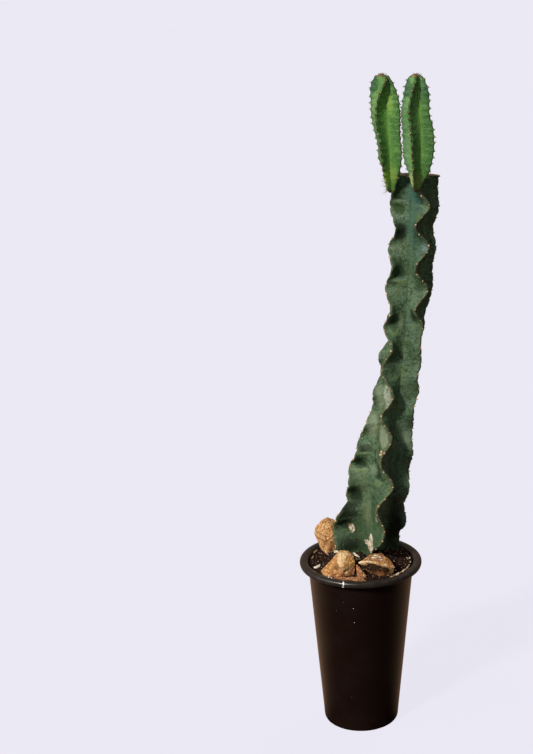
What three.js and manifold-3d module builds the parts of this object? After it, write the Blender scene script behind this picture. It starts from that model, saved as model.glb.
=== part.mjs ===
// Potted columnar cactus: an old four-ribbed stem, cut off at the top, with two young shoots,
// standing in potting mix with tan stones in a tall round nursery pot.
// Millimetres, +Z up. The origin is the centre of the pot's base, on the floor.
// -Y is the front. Angles round a stem are in degrees, from the front towards +X.

import * as THREE from 'three';
import { ConvexGeometry } from 'three/addons/geometries/ConvexGeometry.js';
import { mergeVertices } from 'three/addons/utils/BufferGeometryUtils.js';
import Module from 'manifold-3d';

const wasm = await Module();
wasm.setup();

// Clearance between pieces that touch

const GAP = 0.35;

// Pot: [radius, height] down the outside and back up the inside

const POT_SEGMENTS = 48;
const POT_FLOOR_TOP = 3;
const POT_SECTION = [
  [0, 0], [77.8, 0], [80, 1.4], [80.8, 5], [105.1, 285], [111, 350], [112, 361.5],
  [115.5, 366.6], [120.5, 368.2], [125.6, 366.6], [127.8, 363.4], [127, 358.6], [128.4, 357.8],
  [129.8, 363.6], [128, 367.8], [124.6, 369.6], [120.5, 370.2], [116.2, 369.5], [113, 367.4],
  [110.8, 363.6], [109, 350], [103.1, 285], [79.2, 9], [76.5, POT_FLOOR_TOP], [0, POT_FLOOR_TOP],
];
const DRAIN_HOLE_RADIUS = 5;
const DRAIN_HOLE_CIRCLE = 48;
const DRAIN_HOLES = 6;

// Soil: flat near the rim, heaped round the stem

const SOIL_EDGE_HEIGHT = 359;
const SOIL_HEAP_HEIGHT = 26;
const SOIL_HEAP_SPREAD = 46;
const SOIL_HEAP_CENTRE = [14, 19];
const SOIL_RINGS = [0, 17, 34, 51, 67, 82, 96];
const CRUMBS = 36;
const CRUMB_SIZE = [3.5, 7.5];

// Main stem: stations are [height, value]. Each rib has its own reach from the axis,
// the heights where its edge swings furthest anticlockwise seen from above, and how far it swings.

const STEM = {
  bottom: 345,
  top: 1177,
  topSlope: -0.02,
  axisX: [[330, 10], [385, 12], [425, 17], [490, 31], [540, 38], [627, 51], [714, 69],
    [778, 80], [863, 93], [945, 101], [1027, 107], [1117, 110], [1180, 110]],
  axisY: [[330, 18], [600, 22], [1180, 20]],
  twist: [[330, 22], [425, 18], [490, 15], [540, 12], [627, 2], [714, -16], [778, -32],
    [863, -52], [945, -62], [1027, -70], [1117, -80], [1180, -84]],
  valley: [[330, 16], [385, 22], [430, 28], [540, 25], [700, 19], [1180, 18]],
  edgeHalf: 3.2,
  areolePitch: 19,
  firstAreole: 352,
  lastNotch: 395,
  edgeRelief: -2.6,
  spineStart: 402,
  spineLengths: [7, 5],
  spineRadius: 0.9,
  ribs: [
    {
      angle: [[330, 0], [1180, 0]],
      reach: [[330, 28], [385, 38], [400, 50], [412, 66], [430, 74], [490, 68], [540, 66],
        [627, 56], [714, 48], [778, 46], [840, 46], [955, 48], [1026, 47.5], [1068, 44],
        [1118, 45], [1180, 46]],
      swingHeights: [330, 436, 547, 645, 735, 835, 910, 996, 1072, 1150, 1230],
      swing: [[330, 3], [400, 6], [436, 7], [515, 17], [600, 11], [735, 12], [835, 13],
        [890, 11], [1072, 13], [1130, 11], [1180, 8]],
    },
    {
      angle: [[330, 90], [1040, 90], [1120, 96], [1180, 96]],
      reach: [[330, 34], [362, 62], [378, 72], [394, 74.5], [413, 70.5], [426, 74], [440, 76.5],
        [484, 67], [557, 64], [592, 62], [640, 53], [700, 46], [734, 47], [780, 44], [827, 47],
        [955, 47], [1180, 48]],
      swingHeights: [315, 395, 470, 560, 650, 735, 800, 873, 953, 1040, 1120, 1200],
      swing: [[330, 3], [400, 9], [560, 12], [700, 9], [760, 6], [827, 7], [873, 12],
        [953, 14], [1120, 14], [1180, 10]],
    },
    {
      angle: [[330, 180], [700, 178], [900, 176], [950, 175], [1100, 180], [1180, 180]],
      reach: [[330, 28], [378, 46], [396, 62], [430, 70], [490, 66], [540, 64], [627, 55],
        [714, 48], [800, 47], [946, 46], [1044, 44], [1068, 42], [1108, 47], [1180, 48]],
      swingHeights: [330, 436, 547, 645, 735, 835, 910, 990, 1070, 1150, 1230],
      swing: [[330, 3], [430, 11], [600, 13], [900, 11], [1072, 11], [1130, 9], [1180, 6]],
    },
    {
      angle: [[330, 270], [1180, 270]],
      reach: [[330, 28], [380, 50], [392, 66], [412, 73], [430, 75], [467, 76], [498, 63],
        [535, 65], [570, 62], [609, 55], [647, 48], [690, 41], [740, 42], [800, 46], [1180, 47]],
      swingHeights: [325, 395, 467, 538, 600, 662, 725, 803, 882, 962, 1045, 1128, 1210],
      swing: [[330, 3], [395, 9], [467, 12], [600, 13], [760, 12], [1120, 13], [1180, 10]],
    },
  ],
};

// Young shoots: straight ribs, with the areoles on small points of the edge

const SHOOT = {
  areolePitch: 15,
  edgeHalf: 2.4,
  edgeRelief: 1.8,
  valleyShare: 0.38,
  spineLengths: [5],
  spineRadius: 0.7,
};
const LEFT_SHOOT = {
  bottom: 1150,
  top: 1370,
  axisX: [[1150, 64], [1176, 59], [1195, 58.4], [1218, 57], [1235, 55], [1262, 52.5],
    [1288, 50.5], [1308, 49.2], [1335, 48.3], [1370, 47]],
  axisY: [[1150, 9], [1165, 0], [1185, -8], [1215, -13], [1370, -15]],
  twist: [[1150, -34], [1200, -29], [1370, -27]],
  reaches: [
    [[1150, 4.5], [1160, 7.5], [1176, 12], [1195, 17.5], [1215, 21.5], [1262, 25.5], [1300, 27.5],
      [1335, 25.5], [1350, 21.5], [1362, 13.5], [1370, 5]],
    [[1150, 4.5], [1160, 8.5], [1176, 17], [1187, 20.5], [1195, 22.5], [1217, 25], [1237, 26.5],
      [1257, 26], [1288, 28.5], [1320, 28.5], [1334, 25], [1348, 19.5], [1362, 11.5], [1370, 5]],
    [[1150, 4.5], [1165, 10], [1195, 18.5], [1230, 23.5], [1290, 26.5], [1335, 24.5], [1350, 19.5],
      [1362, 12], [1370, 5]],
    [[1150, 4.5], [1165, 6.5], [1176, 7.5], [1195, 13], [1206, 18], [1217, 19.5], [1237, 18],
      [1262, 22], [1288, 26.5], [1320, 26], [1335, 26], [1348, 23], [1362, 12], [1370, 5]],
  ],
};
const RIGHT_SHOOT = {
  bottom: 1150,
  top: 1371,
  axisX: [[1150, 112], [1161, 110.5], [1180, 111.3], [1199, 112], [1220, 113], [1244, 113.6],
    [1278, 112.8], [1300, 109.6], [1337, 107.2], [1371, 106.5]],
  axisY: [[1150, -30], [1165, -38], [1185, -45], [1215, -49], [1371, -50]],
  twist: [[1150, -24], [1371, -22]],
  reaches: [
    [[1150, 4.5], [1165, 11], [1190, 20.5], [1220, 26.5], [1250, 29.5], [1300, 29], [1337, 25.5],
      [1352, 20.5], [1364, 13], [1371, 5]],
    [[1150, 4.5], [1161, 8.5], [1174, 14.5], [1188, 22], [1206, 26.5], [1225, 29], [1244, 29.5],
      [1262, 29], [1278, 27], [1294, 24], [1337, 24.5], [1354, 17.5], [1364, 10.5], [1371, 5]],
    [[1150, 4.5], [1165, 10.5], [1190, 19.5], [1230, 26.5], [1290, 27.5], [1337, 24.5], [1352, 18.5],
      [1364, 11.5], [1371, 5]],
    [[1150, 4.5], [1168, 8.5], [1188, 14.5], [1199, 20.5], [1216, 25.5], [1235, 27.5],
      [1264, 28], [1283, 29], [1300, 27], [1320, 23.5], [1337, 19.5], [1352, 17],
      [1364, 11], [1371, 5]],
  ],
};

// Stones: corners of each one, measured from the pot's base centre

const STONES = {
  rock_back_left: [
    [-71, 36, 357], [-60, 44, 356], [-84, 56, 358], [-64, 62, 356], [-89, 46, 376],
    [-101, 50, 404], [-97, 46, 423], [-85, 44, 437], [-73, 46, 443], [-60, 50, 438],
    [-49, 52, 427], [-45, 50, 402], [-48, 44, 376], [-80, 35, 402], [-66, 33, 386],
    [-60, 36, 414], [-90, 66, 415], [-70, 72, 425], [-53, 68, 410], [-72, 72, 380],
  ],
  rock_front_left: [
    [-84, -56, 361], [-70, -77, 360], [-40, -84, 362], [-12, -68, 360], [-10, -42, 357],
    [-40, -28, 357], [-66, -36, 357], [-65, -74, 376], [-34, -83, 386], [-10, -62, 387],
    [-51, -59, 403], [-40, -52, 410], [-26, -54, 409], [-14, -50, 399], [-46, -36, 398],
    [-20, -34, 396],
  ],
  rock_front_right: [
    [16, -62, 400], [24, -53, 402], [43, -47, 402], [50, -51, 398], [62, -64, 393],
    [72, -80, 384], [-4, -72, 390], [-3, -62, 385], [16, -82, 398], [37, -88, 396],
    [55, -88, 388], [71, -77, 378], [12, -49, 361], [28, -63, 360], [42, -86, 361],
    [56, -79, 360], [68, -65, 360], [60, -46, 359], [38, -41, 361], [20, -41, 361],
  ],
  rock_middle: [
    [-6, -78, 379], [-1, -80, 378], [4, -78, 372], [12, -84, 365], [12, -73, 364],
    [-6, -85, 361], [10, -87, 359], [-6, -70, 359], [9, -66, 358],
  ],
  rock_flat: [
    [-62, -87, 358], [-42, -98, 358], [-10, -104, 358], [11, -101, 358], [14, -90, 359],
    [-20, -89, 358], [-54, -88, 366], [-34, -96, 368], [-4, -99, 369], [8, -92, 368],
  ],
};

// Materials

const finish = (color, roughness) => new THREE.MeshStandardMaterial({ color, roughness, metalness: 0 });
const COLOURS = {
  pot: finish(0x1b1512, 0.35),
  soil: finish(0x2e211b, 0.95),
  stem: finish(0x46604a, 0.6),
  shoot: finish(0x4d8a3a, 0.55),
  stone: finish(0xb98a56, 0.85),
};

// Repeatable random numbers from 0 to 1

function makeRandom(seed) {
  let state = seed;
  return () => {
    state = (state * 1664525 + 1013904223) % 4294967296;
    return state / 4294967296;
  };
}

// Value at a height on a smooth curve through [height, value] stations

function along(stations, height) {
  const last = stations.length - 1;
  const z = Math.min(Math.max(height, stations[0][0]), stations[last][0]);
  let i = 0;
  while (i < last - 1 && z > stations[i + 1][0]) {
    i += 1;
  }
  const rate = (k) => {
    const before = stations[Math.max(k - 1, 0)];
    const after = stations[Math.min(k + 1, last)];
    return (after[1] - before[1]) / (after[0] - before[0]);
  };
  const [z0, v0] = stations[i];
  const [z1, v1] = stations[i + 1];
  const span = z1 - z0;
  const t = (z - z0) / span;
  const s = t * t;
  const c = s * t;
  return (2 * c - 3 * s + 1) * v0 + (c - 2 * s + t) * span * rate(i)
    + (3 * s - 2 * c) * v1 + (c - s) * span * rate(i + 1);
}

// Solids

function indexed(geometry) {
  const bare = geometry.clone();
  bare.deleteAttribute('normal');
  bare.deleteAttribute('uv');
  return mergeVertices(bare, 1e-4);
}

function toSolid(geometry) {
  const body = indexed(geometry);
  return new wasm.Manifold(new wasm.Mesh({
    numProp: 3,
    vertProperties: new Float32Array(body.attributes.position.array),
    triVerts: new Uint32Array(body.index.array),
  }));
}

function toGeometry(solid) {
  const mesh = solid.getMesh();
  const geometry = new THREE.BufferGeometry();
  geometry.setAttribute('position', new THREE.BufferAttribute(mesh.vertProperties, 3));
  geometry.setIndex(new THREE.BufferAttribute(mesh.triVerts, 1));
  geometry.computeVertexNormals();
  return geometry;
}

// Closed body from rings of equal length, with a fan to a point at each end

function loft(rings, bottomPoint, topPoint) {
  const around = rings[0].length;
  const points = rings.flat();
  const faces = [];
  const corner = (i, j) => i * around + (j % around);
  for (let i = 0; i < rings.length - 1; i += 1) {
    for (let j = 0; j < around; j += 1) {
      faces.push(corner(i, j), corner(i, j + 1), corner(i + 1, j + 1));
      faces.push(corner(i, j), corner(i + 1, j + 1), corner(i + 1, j));
    }
  }
  const low = points.push(bottomPoint) - 1;
  const high = points.push(topPoint) - 1;
  for (let j = 0; j < around; j += 1) {
    faces.push(low, corner(0, j + 1), corner(0, j));
    faces.push(high, corner(rings.length - 1, j), corner(rings.length - 1, j + 1));
  }
  const geometry = new THREE.BufferGeometry();
  geometry.setAttribute('position', new THREE.Float32BufferAttribute(points.flat(), 3));
  geometry.setIndex(faces);
  return geometry;
}

// Ribbed stems. A rib is a thin fin; its edge swings from side to side with height.
// share is 0 at the valley beside the rib and 1 at its edge; side is -1 or 1 for its two faces.

const radians = THREE.MathUtils.degToRad;

function swingPhase(heights, z) {
  return 2 * Math.PI * along(heights.map((height, i) => [height, i]), z);
}

function edgePoint(plant, rib, z) {
  const step = (z - plant.firstAreole) / plant.areolePitch - (rib % 2) / 2;
  return 1 - Math.abs(Math.sin(Math.PI * step));
}

function ribPoint(plant, rib, z, share, side, grow = 0) {
  const data = plant.ribs[rib];
  const turn = radians(along(plant.twist, z) + along(data.angle, z));
  const inner = (along(plant.valley, z) + grow) * Math.SQRT1_2;
  const relief = z > plant.lastNotch ? plant.edgeRelief * edgePoint(plant, rib, z) : 0;
  const outer = along(data.reach, z) + relief + grow;
  const half = Math.min(plant.edgeHalf, outer * 0.45) + grow;
  const swing = along(data.swing, z) * Math.cos(swingPhase(data.swingHeights, z));
  const out = share > 1 ? outer + half * 0.9 : inner + (outer - inner) * share;
  const thickness = share > 1 ? 0 : half + (inner - half) * (1 - share) ** 1.25;
  const across = swing * Math.min(share, 1) ** 1.5 + side * thickness;
  return [
    along(plant.axisX, z) + Math.sin(turn) * out + Math.cos(turn) * across,
    along(plant.axisY, z) - Math.cos(turn) * out + Math.sin(turn) * across,
    z,
  ];
}

function ribRing(plant, z, grow) {
  const ring = [];
  for (let rib = 0; rib < plant.ribs.length; rib += 1) {
    ring.push(ribPoint(plant, rib, z, 0, -1, grow));
    ring.push(ribPoint(plant, rib, z, 0.5, -1, grow));
    ring.push(ribPoint(plant, rib, z, 1, -1, grow));
    ring.push(ribPoint(plant, rib, z, 2, 0, grow));
    ring.push(ribPoint(plant, rib, z, 1, 1, grow));
    ring.push(ribPoint(plant, rib, z, 0.5, 1, grow));
  }
  return ring;
}

function ribHeights(plant) {
  const step = plant.areolePitch / 2;
  const heights = [plant.bottom];
  for (let z = plant.firstAreole; z < plant.top - step * 0.4; z += step) {
    if (z > plant.bottom + 1) {
      heights.push(z);
    }
  }
  heights.push(plant.top);
  return heights;
}

function ribbedBody(plant, grow = 0) {
  const rings = ribHeights(plant).map((z) => ribRing(plant, z, grow));
  const middle = (z) => [along(plant.axisX, z), along(plant.axisY, z), z];
  const tilt = (point) => {
    const [x, y, z] = point;
    return [x, y, z + (plant.topSlope ?? 0) * (x - along(plant.axisX, plant.top))];
  };
  rings[0] = rings[0].map(([x, y, z]) => [x, y, z - grow]);
  rings[rings.length - 1] = rings[rings.length - 1].map(tilt);
  const bottomPoint = middle(plant.bottom);
  bottomPoint[2] -= grow;
  const topPoint = middle(plant.top);
  topPoint[2] += plant.topRise ?? 0;
  return toSolid(loft(rings, bottomPoint, topPoint));
}

// Spines: slim three-sided cones with sunk roots, fused to the areoles of each rib

function spike(root, direction, length, radius) {
  const geometry = new THREE.ConeGeometry(radius, length, 3);
  geometry.translate(0, length / 2, 0);
  const up = new THREE.Vector3(0, 1, 0);
  const turn = new THREE.Quaternion().setFromUnitVectors(up, direction.clone().normalize());
  geometry.applyQuaternion(turn);
  geometry.translate(root.x, root.y, root.z);
  return toSolid(geometry);
}

function withSpines(plant, body, random) {
  let grown = body;
  const step = plant.areolePitch / 2;
  for (let z = plant.firstAreole; z < plant.top - 4; z += step) {
    const row = Math.round((z - plant.firstAreole) / step);
    for (let rib = row % 2; rib < plant.ribs.length; rib += 2) {
      if (z < plant.spineStart) {
        continue;
      }
      const edge = new THREE.Vector3(...ribPoint(plant, rib, z, 2, 0));
      const behind = new THREE.Vector3(...ribPoint(plant, rib, z, 0.8, 0));
      const outward = edge.clone().sub(behind).normalize();
      const sideways = new THREE.Vector3(0, 0, 1).cross(outward);
      const root = edge.clone().addScaledVector(outward, -2.2);
      plant.spineLengths.forEach((length, i) => {
        const upward = (i + rib + row) % 4 < 2 ? 0.5 : -0.4;
        const lean = upward + 0.5 * (random() - 0.5);
        const direction = outward.clone().addScaledVector(sideways, lean);
        direction.z += (i === 0 ? 0.55 : -0.5) + 0.3 * (random() - 0.5);
        grown = grown.add(spike(root, direction, length + 2.2, plant.spineRadius));
      });
    }
  }
  return grown;
}

function shootPlant(shape) {
  const straight = [[shape.bottom, 0], [shape.top, 0]];
  return {
    ...SHOOT,
    ...shape,
    firstAreole: shape.bottom + 10,
    lastNotch: shape.bottom + 18,
    spineStart: shape.bottom + 36,
    topRise: 1.5,
    valley: shape.reaches[2].map(([z, reach]) => [z, Math.max(reach * SHOOT.valleyShare, 3.4)]),
    ribs: shape.reaches.map((reach, i) => ({
      angle: [[shape.bottom, i * 90], [shape.top, i * 90]],
      reach,
      swingHeights: [shape.bottom, shape.top],
      swing: straight,
    })),
  };
}

// Pot

function drainHole(x, y) {
  const hole = new THREE.CylinderGeometry(DRAIN_HOLE_RADIUS, DRAIN_HOLE_RADIUS, 12, 16);
  hole.rotateX(Math.PI / 2);
  hole.translate(x, y, POT_FLOOR_TOP / 2);
  return toSolid(hole);
}

function lathe(section) {
  const points = section.map(([radius, height]) => new THREE.Vector2(radius, height));
  const geometry = new THREE.LatheGeometry(points, POT_SEGMENTS);
  geometry.rotateX(Math.PI / 2);
  return geometry;
}

function makePot() {
  let pot = toSolid(lathe(POT_SECTION));
  for (let i = 0; i < DRAIN_HOLES; i += 1) {
    const angle = (2 * Math.PI * i) / DRAIN_HOLES;
    pot = pot.subtract(drainHole(DRAIN_HOLE_CIRCLE * Math.cos(angle), DRAIN_HOLE_CIRCLE * Math.sin(angle)));
  }
  return pot;
}

// Soil

function soilHeight(x, y) {
  const [cx, cy] = SOIL_HEAP_CENTRE;
  const away = ((x - cx) ** 2 + (y - cy) ** 2) / (2 * SOIL_HEAP_SPREAD ** 2);
  const ripple = 1.2 * Math.sin(x / 9 + 1.3) * Math.cos(y / 11 - 0.4);
  return SOIL_EDGE_HEIGHT + SOIL_HEAP_HEIGHT * Math.exp(-away) + ripple;
}

function makeSoil(random) {
  const section = [
    [0, POT_FLOOR_TOP + GAP], [76.2, POT_FLOOR_TOP + GAP], [78.8, 9.2],
    [102.7, 285], [108.6, 350], [109, SOIL_EDGE_HEIGHT - 1.5],
    ...SOIL_RINGS.toReversed().map((radius) => [radius, SOIL_EDGE_HEIGHT]),
  ];
  const geometry = lathe(section);
  const position = geometry.attributes.position;
  for (let i = 0; i < position.count; i += 1) {
    if (position.getZ(i) > SOIL_EDGE_HEIGHT - 0.5) {
      position.setZ(i, soilHeight(position.getX(i), position.getY(i)));
    }
  }
  let soil = toSolid(geometry);
  for (let i = 0; i < CRUMBS; i += 1) {
    const angle = 2 * Math.PI * random();
    const radius = 100 * Math.sqrt(random());
    const size = CRUMB_SIZE[0] + (CRUMB_SIZE[1] - CRUMB_SIZE[0]) * random();
    const crumb = new THREE.OctahedronGeometry(size, 0);
    crumb.scale(1, 0.6, 0.5);
    crumb.rotateX(0.6 * random());
    crumb.rotateZ(2 * Math.PI * random());
    const x = radius * Math.cos(angle);
    const y = radius * Math.sin(angle);
    crumb.translate(x, y, soilHeight(x, y) + size * 0.12);
    soil = soil.add(toSolid(crumb));
  }
  return soil;
}

// Stones

function stone(corners, grow = 0) {
  const points = corners.map((corner) => new THREE.Vector3(...corner));
  const middle = new THREE.Vector3();
  points.forEach((point) => middle.addScaledVector(point, 1 / points.length));
  points.forEach((point) => {
    const away = point.clone().sub(middle);
    point.addScaledVector(away.normalize(), grow);
  });
  return toSolid(new ConvexGeometry(points));
}

// Only the largest body of a cut solid is kept

function largest(solid) {
  return solid.decompose().reduce((best, body) => (body.volume() > best.volume() ? body : best));
}

// Assembly

const random = makeRandom(607);
const leftShoot = shootPlant(LEFT_SHOOT);
const rightShoot = shootPlant(RIGHT_SHOOT);

const stemBody = ribbedBody(STEM);
const stemSeated = withSpines(STEM, stemBody, random)
  .subtract(ribbedBody(leftShoot, GAP))
  .subtract(ribbedBody(rightShoot, GAP));

let soilBody = makeSoil(random);
soilBody = soilBody.subtract(ribbedBody(STEM, GAP));
Object.values(STONES).forEach((corners) => {
  soilBody = soilBody.subtract(stone(corners, 2 * GAP));
});

const cactus = new THREE.Group();

function place(name, solid, material) {
  const mesh = new THREE.Mesh(toGeometry(solid), material);
  mesh.name = name;
  cactus.add(mesh);
}

place('pot', makePot(), COLOURS.pot);
place('soil', largest(soilBody), COLOURS.soil);
place('main_stem', largest(stemSeated), COLOURS.stem);
place('shoot_left', withSpines(leftShoot, ribbedBody(leftShoot), random), COLOURS.shoot);
place('shoot_right', withSpines(rightShoot, ribbedBody(rightShoot), random), COLOURS.shoot);
Object.entries(STONES).forEach(([name, corners]) => {
  place(name, stone(corners), COLOURS.stone);
});

export default cactus;
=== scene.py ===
"""Potted columnar cactus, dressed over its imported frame.

An old four-ribbed stem, cut off at the top, carries two young shoots and stands in potting mix
with tan stones in a tall round nursery pot. Sizes in this file are millimetres, with +Z up, -Y at
the front and the origin under the centre of the pot. Meshes are in metres.
"""

import logging
import math
from dataclasses import dataclass
from enum import Enum
from functools import cached_property
from typing import ClassVar

import bmesh
import bpy
import numpy as np
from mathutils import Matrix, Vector, noise


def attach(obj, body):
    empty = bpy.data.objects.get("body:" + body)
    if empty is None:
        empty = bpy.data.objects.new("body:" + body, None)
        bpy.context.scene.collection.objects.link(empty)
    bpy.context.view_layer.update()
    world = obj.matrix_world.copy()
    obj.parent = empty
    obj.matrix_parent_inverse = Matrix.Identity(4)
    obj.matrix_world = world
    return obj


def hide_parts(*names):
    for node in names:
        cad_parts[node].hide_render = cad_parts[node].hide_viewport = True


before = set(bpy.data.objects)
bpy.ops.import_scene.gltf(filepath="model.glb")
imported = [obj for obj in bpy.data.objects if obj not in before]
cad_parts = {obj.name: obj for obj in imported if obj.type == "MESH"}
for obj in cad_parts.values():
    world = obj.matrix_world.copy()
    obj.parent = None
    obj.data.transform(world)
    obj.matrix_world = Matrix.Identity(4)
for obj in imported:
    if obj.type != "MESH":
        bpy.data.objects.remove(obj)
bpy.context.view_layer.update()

MM = 0.001
BODY = "root"
LOG = logging.getLogger("cactus")

Colour = tuple[float, float, float, float]
Point = tuple[float, float, float]
Face = tuple[int, ...]
Stations = tuple[tuple[float, float], ...]
Node = bpy.types.Node
Socket = bpy.types.NodeSocket
Tree = bpy.types.NodeTree
Material = bpy.types.Material
Piece = bpy.types.Object


class Slot(Enum):
    """Material slots of the record."""

    POT = "pot"
    SOIL = "soil"
    OLD_STEM = "old_stem"
    YOUNG_STEM = "young_stem"
    STONE = "stone"


def tint(red: int, green: int, blue: int) -> Colour:
    """Turns a screen colour into the linear colour that a shader takes.

    Args:
        red: Red, 0 to 255.
        green: Green, 0 to 255.
        blue: Blue, 0 to 255.

    Returns:
        Linear red, green and blue, with alpha 1.
    """
    levels = [value / 255 for value in (red, green, blue)]
    linear = [v / 12.92 if v <= 0.04045 else ((v + 0.055) / 1.055) ** 2.4 for v in levels]
    return (linear[0], linear[1], linear[2], 1.0)


# Node trees


class Bench:
    """Adds nodes to one tree and joins them. A node given as a value stands for its first outlet."""

    def __init__(self, tree: Tree) -> None:
        """Takes the shader or geometry node tree to work on."""
        self.tree = tree

    @classmethod
    def cleared(cls, owner: Material | bpy.types.World) -> "Bench":
        """Takes the node tree of a material or world and empties it.

        Args:
            owner: The material or world.

        Returns:
            The bench for its tree.
        """
        owner.use_nodes = True
        owner.node_tree.nodes.clear()
        return cls(owner.node_tree)

    def add(self, kind: str, feeds: dict[str | int, object] | None = None, **settings: object) -> Node:
        """Adds one node.

        Args:
            kind: The node's type name.
            feeds: Values or outlets for the inlets, by name, or by number where names repeat.
            **settings: Properties of the node.

        Returns:
            The new node.
        """
        node = self.tree.nodes.new(kind)
        for name, value in settings.items():
            setattr(node, name, value)
        for name, value in (feeds or {}).items():
            self.feed(node, name, value)
        return node

    def feed(self, node: Node, name: str | int, value: object) -> None:
        """Sets an inlet to a value, or joins an outlet to it.

        Args:
            node: The node to feed.
            name: The inlet's name or number.
            value: A plain value, an outlet or a node.
        """
        if isinstance(name, int):
            inlet = node.inputs[name]
        else:
            inlet = next(socket for socket in node.inputs if socket.enabled and socket.name == name)
        if isinstance(value, Node):
            value = self.out(value)
        if isinstance(value, Socket):
            self.tree.links.new(value, inlet)
        else:
            inlet.default_value = value

    def out(self, node: Node, name: str | None = None) -> Socket:
        """Finds an outlet that is in use, the first or the one of that name."""
        return next(socket for socket in node.outputs if socket.enabled and name in (None, socket.name))

    def calc(self, operation: str, *values: object) -> Socket:
        """Adds a Math node with a number or an outlet for each inlet, and gives its result."""
        return self.out(self.add("ShaderNodeMath", dict(enumerate(values)), operation=operation))

    def times(self, first: object, second: object) -> Socket:
        """Multiplies two numbers."""
        return self.calc("MULTIPLY", first, second)

    def vector(self, operation: str, *values: object) -> Socket:
        """Adds a Vector Math node with a vector or an outlet for each inlet, and gives its result."""
        return self.out(self.add("ShaderNodeVectorMath", dict(enumerate(values)), operation=operation))

    def scale(self, value: object, factor: object) -> Socket:
        """Multiplies a vector or a colour by a number."""
        return self.out(self.add("ShaderNodeVectorMath", {0: value, 3: factor}, operation="SCALE"))

    def ramp(
        self, value: object, low: object, high: object, start: object = 0.0, end: object = 1.0
    ) -> Socket:
        """Maps a value smoothly from one span to another, and stops at its ends.

        Args:
            value: The outlet to map.
            low: Where the span starts.
            high: Where the span ends.
            start: The result at low.
            end: The result at high.

        Returns:
            The result's outlet.
        """
        feeds = {"Value": value, "From Min": low, "From Max": high, "To Min": start, "To Max": end}
        return self.out(self.add("ShaderNodeMapRange", feeds, interpolation_type="SMOOTHSTEP"))

    def blend(self, share: object, first: object, second: object) -> Socket:
        """Mixes two colours by the share of the second."""
        feeds = {"Factor": share, "A": first, "B": second}
        return self.out(self.add("ShaderNodeMix", feeds, data_type="RGBA", clamp_factor=True))

    def mix(self, share: object, first: object, second: object) -> Node:
        """Mixes two shaders by the share of the second."""
        return self.add("ShaderNodeMixShader", {0: share, 1: first, 2: second})

    def close(self, name: str, value: object) -> Tree:
        """Joins a value to the group's outlet of that name, and gives the finished group."""
        self.add("NodeGroupOutput", {name: value})
        return self.tree


SOCKET_KINDS = {float: "NodeSocketFloat", int: "NodeSocketInt", tuple: "NodeSocketVector"}


def start_tree(
    kind: str, name: str, inlets: dict[str, object], outlets: dict[str, str]
) -> tuple[Bench, dict[str, Socket]]:
    """Starts a node group.

    Args:
        kind: The group's type.
        name: The group's name.
        inlets: Usual value of each inlet by name, or the socket's type where it has none.
        outlets: The socket's type of each outlet by name.

    Returns:
        The bench for the group, and its inlets by name.
    """
    tree = bpy.data.node_groups.new(name, kind)
    for label, value in inlets.items():
        if isinstance(value, str):
            tree.interface.new_socket(label, in_out="INPUT", socket_type=value)
        else:
            socket = tree.interface.new_socket(label, in_out="INPUT", socket_type=SOCKET_KINDS[type(value)])
            socket.default_value = value
    for label, value in outlets.items():
        tree.interface.new_socket(label, in_out="OUTPUT", socket_type=value)
    bench = Bench(tree)
    entry = bench.add("NodeGroupInput")
    return bench, {label: bench.out(entry, label) for label in inlets}


class Effects:
    """Shader node groups that several finishes share, each built once."""

    @staticmethod
    def _start(name: str, **inlets: object) -> tuple[Bench, dict[str, Socket]]:
        """Starts a group with a Vector inlet, the inlets given and a Mask outlet."""
        inlets = {"Vector": (0, 0, 0), **inlets}
        return start_tree("ShaderNodeTree", name, inlets, {"Mask": "NodeSocketFloat"})

    @cached_property
    def mottle(self) -> Tree:
        """Soft cloudy patches of a given size.

        Returns:
            The group.
        """
        bench, inlet = self._start("mottle", Size=20.0, Detail=3.0, Low=0.35, High=0.65, Seed=0.0)
        cloud = bench.add("ShaderNodeTexNoise", {
            "Vector": inlet["Vector"], "W": inlet["Seed"], "Detail": inlet["Detail"], "Roughness": 0.55,
            "Scale": bench.calc("DIVIDE", 1 / MM, inlet["Size"]),
        }, noise_dimensions="4D")
        return bench.close("Mask", bench.ramp(cloud, inlet["Low"], inlet["High"]))

    @cached_property
    def specks(self) -> Tree:
        """Small round specks, in some cells of a loose net.

        Returns:
            The group.
        """
        bench, inlet = self._start("specks", Spacing=10.0, Radius=1.0, Share=0.5)
        scale = bench.calc("DIVIDE", 1 / MM, inlet["Spacing"])
        cells = bench.add("ShaderNodeTexVoronoi", {"Vector": inlet["Vector"], "Scale": scale})
        away = bench.times(bench.out(cells, "Distance"), inlet["Spacing"])
        near = bench.ramp(away, bench.times(inlet["Radius"], 0.55), inlet["Radius"], 1.0, 0.0)
        draw = bench.add("ShaderNodeSeparateColor", {"Color": bench.out(cells, "Color")})
        chosen = bench.calc("LESS_THAN", bench.out(draw, "Red"), inlet["Share"])
        return bench.close("Mask", bench.times(near, chosen))

    @cached_property
    def patch(self) -> Tree:
        """One ragged patch round a centre.

        Returns:
            The group.
        """
        bench, inlet = self._start(
            "patch", Centre=(0, 0, 0), Reach=(10, 10, 10), Ragged=0.5, Grain=6.0, Soft=0.3
        )
        offset = bench.vector("SUBTRACT", bench.scale(inlet["Vector"], 1 / MM), inlet["Centre"])
        length = bench.vector("LENGTH", bench.vector("DIVIDE", offset, inlet["Reach"]))
        scale = bench.calc("DIVIDE", 1 / MM, inlet["Grain"])
        cloud = bench.add("ShaderNodeTexNoise", {"Vector": inlet["Vector"], "Scale": scale, "Detail": 4.0})
        shift = bench.times(bench.calc("SUBTRACT", cloud, 0.5), inlet["Ragged"])
        inside = bench.calc("SUBTRACT", 1.05, inlet["Soft"])
        return bench.close("Mask", bench.ramp(bench.calc("ADD", length, shift), inside, 1.05, 1.0, 0.0))


# Finishes


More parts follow.
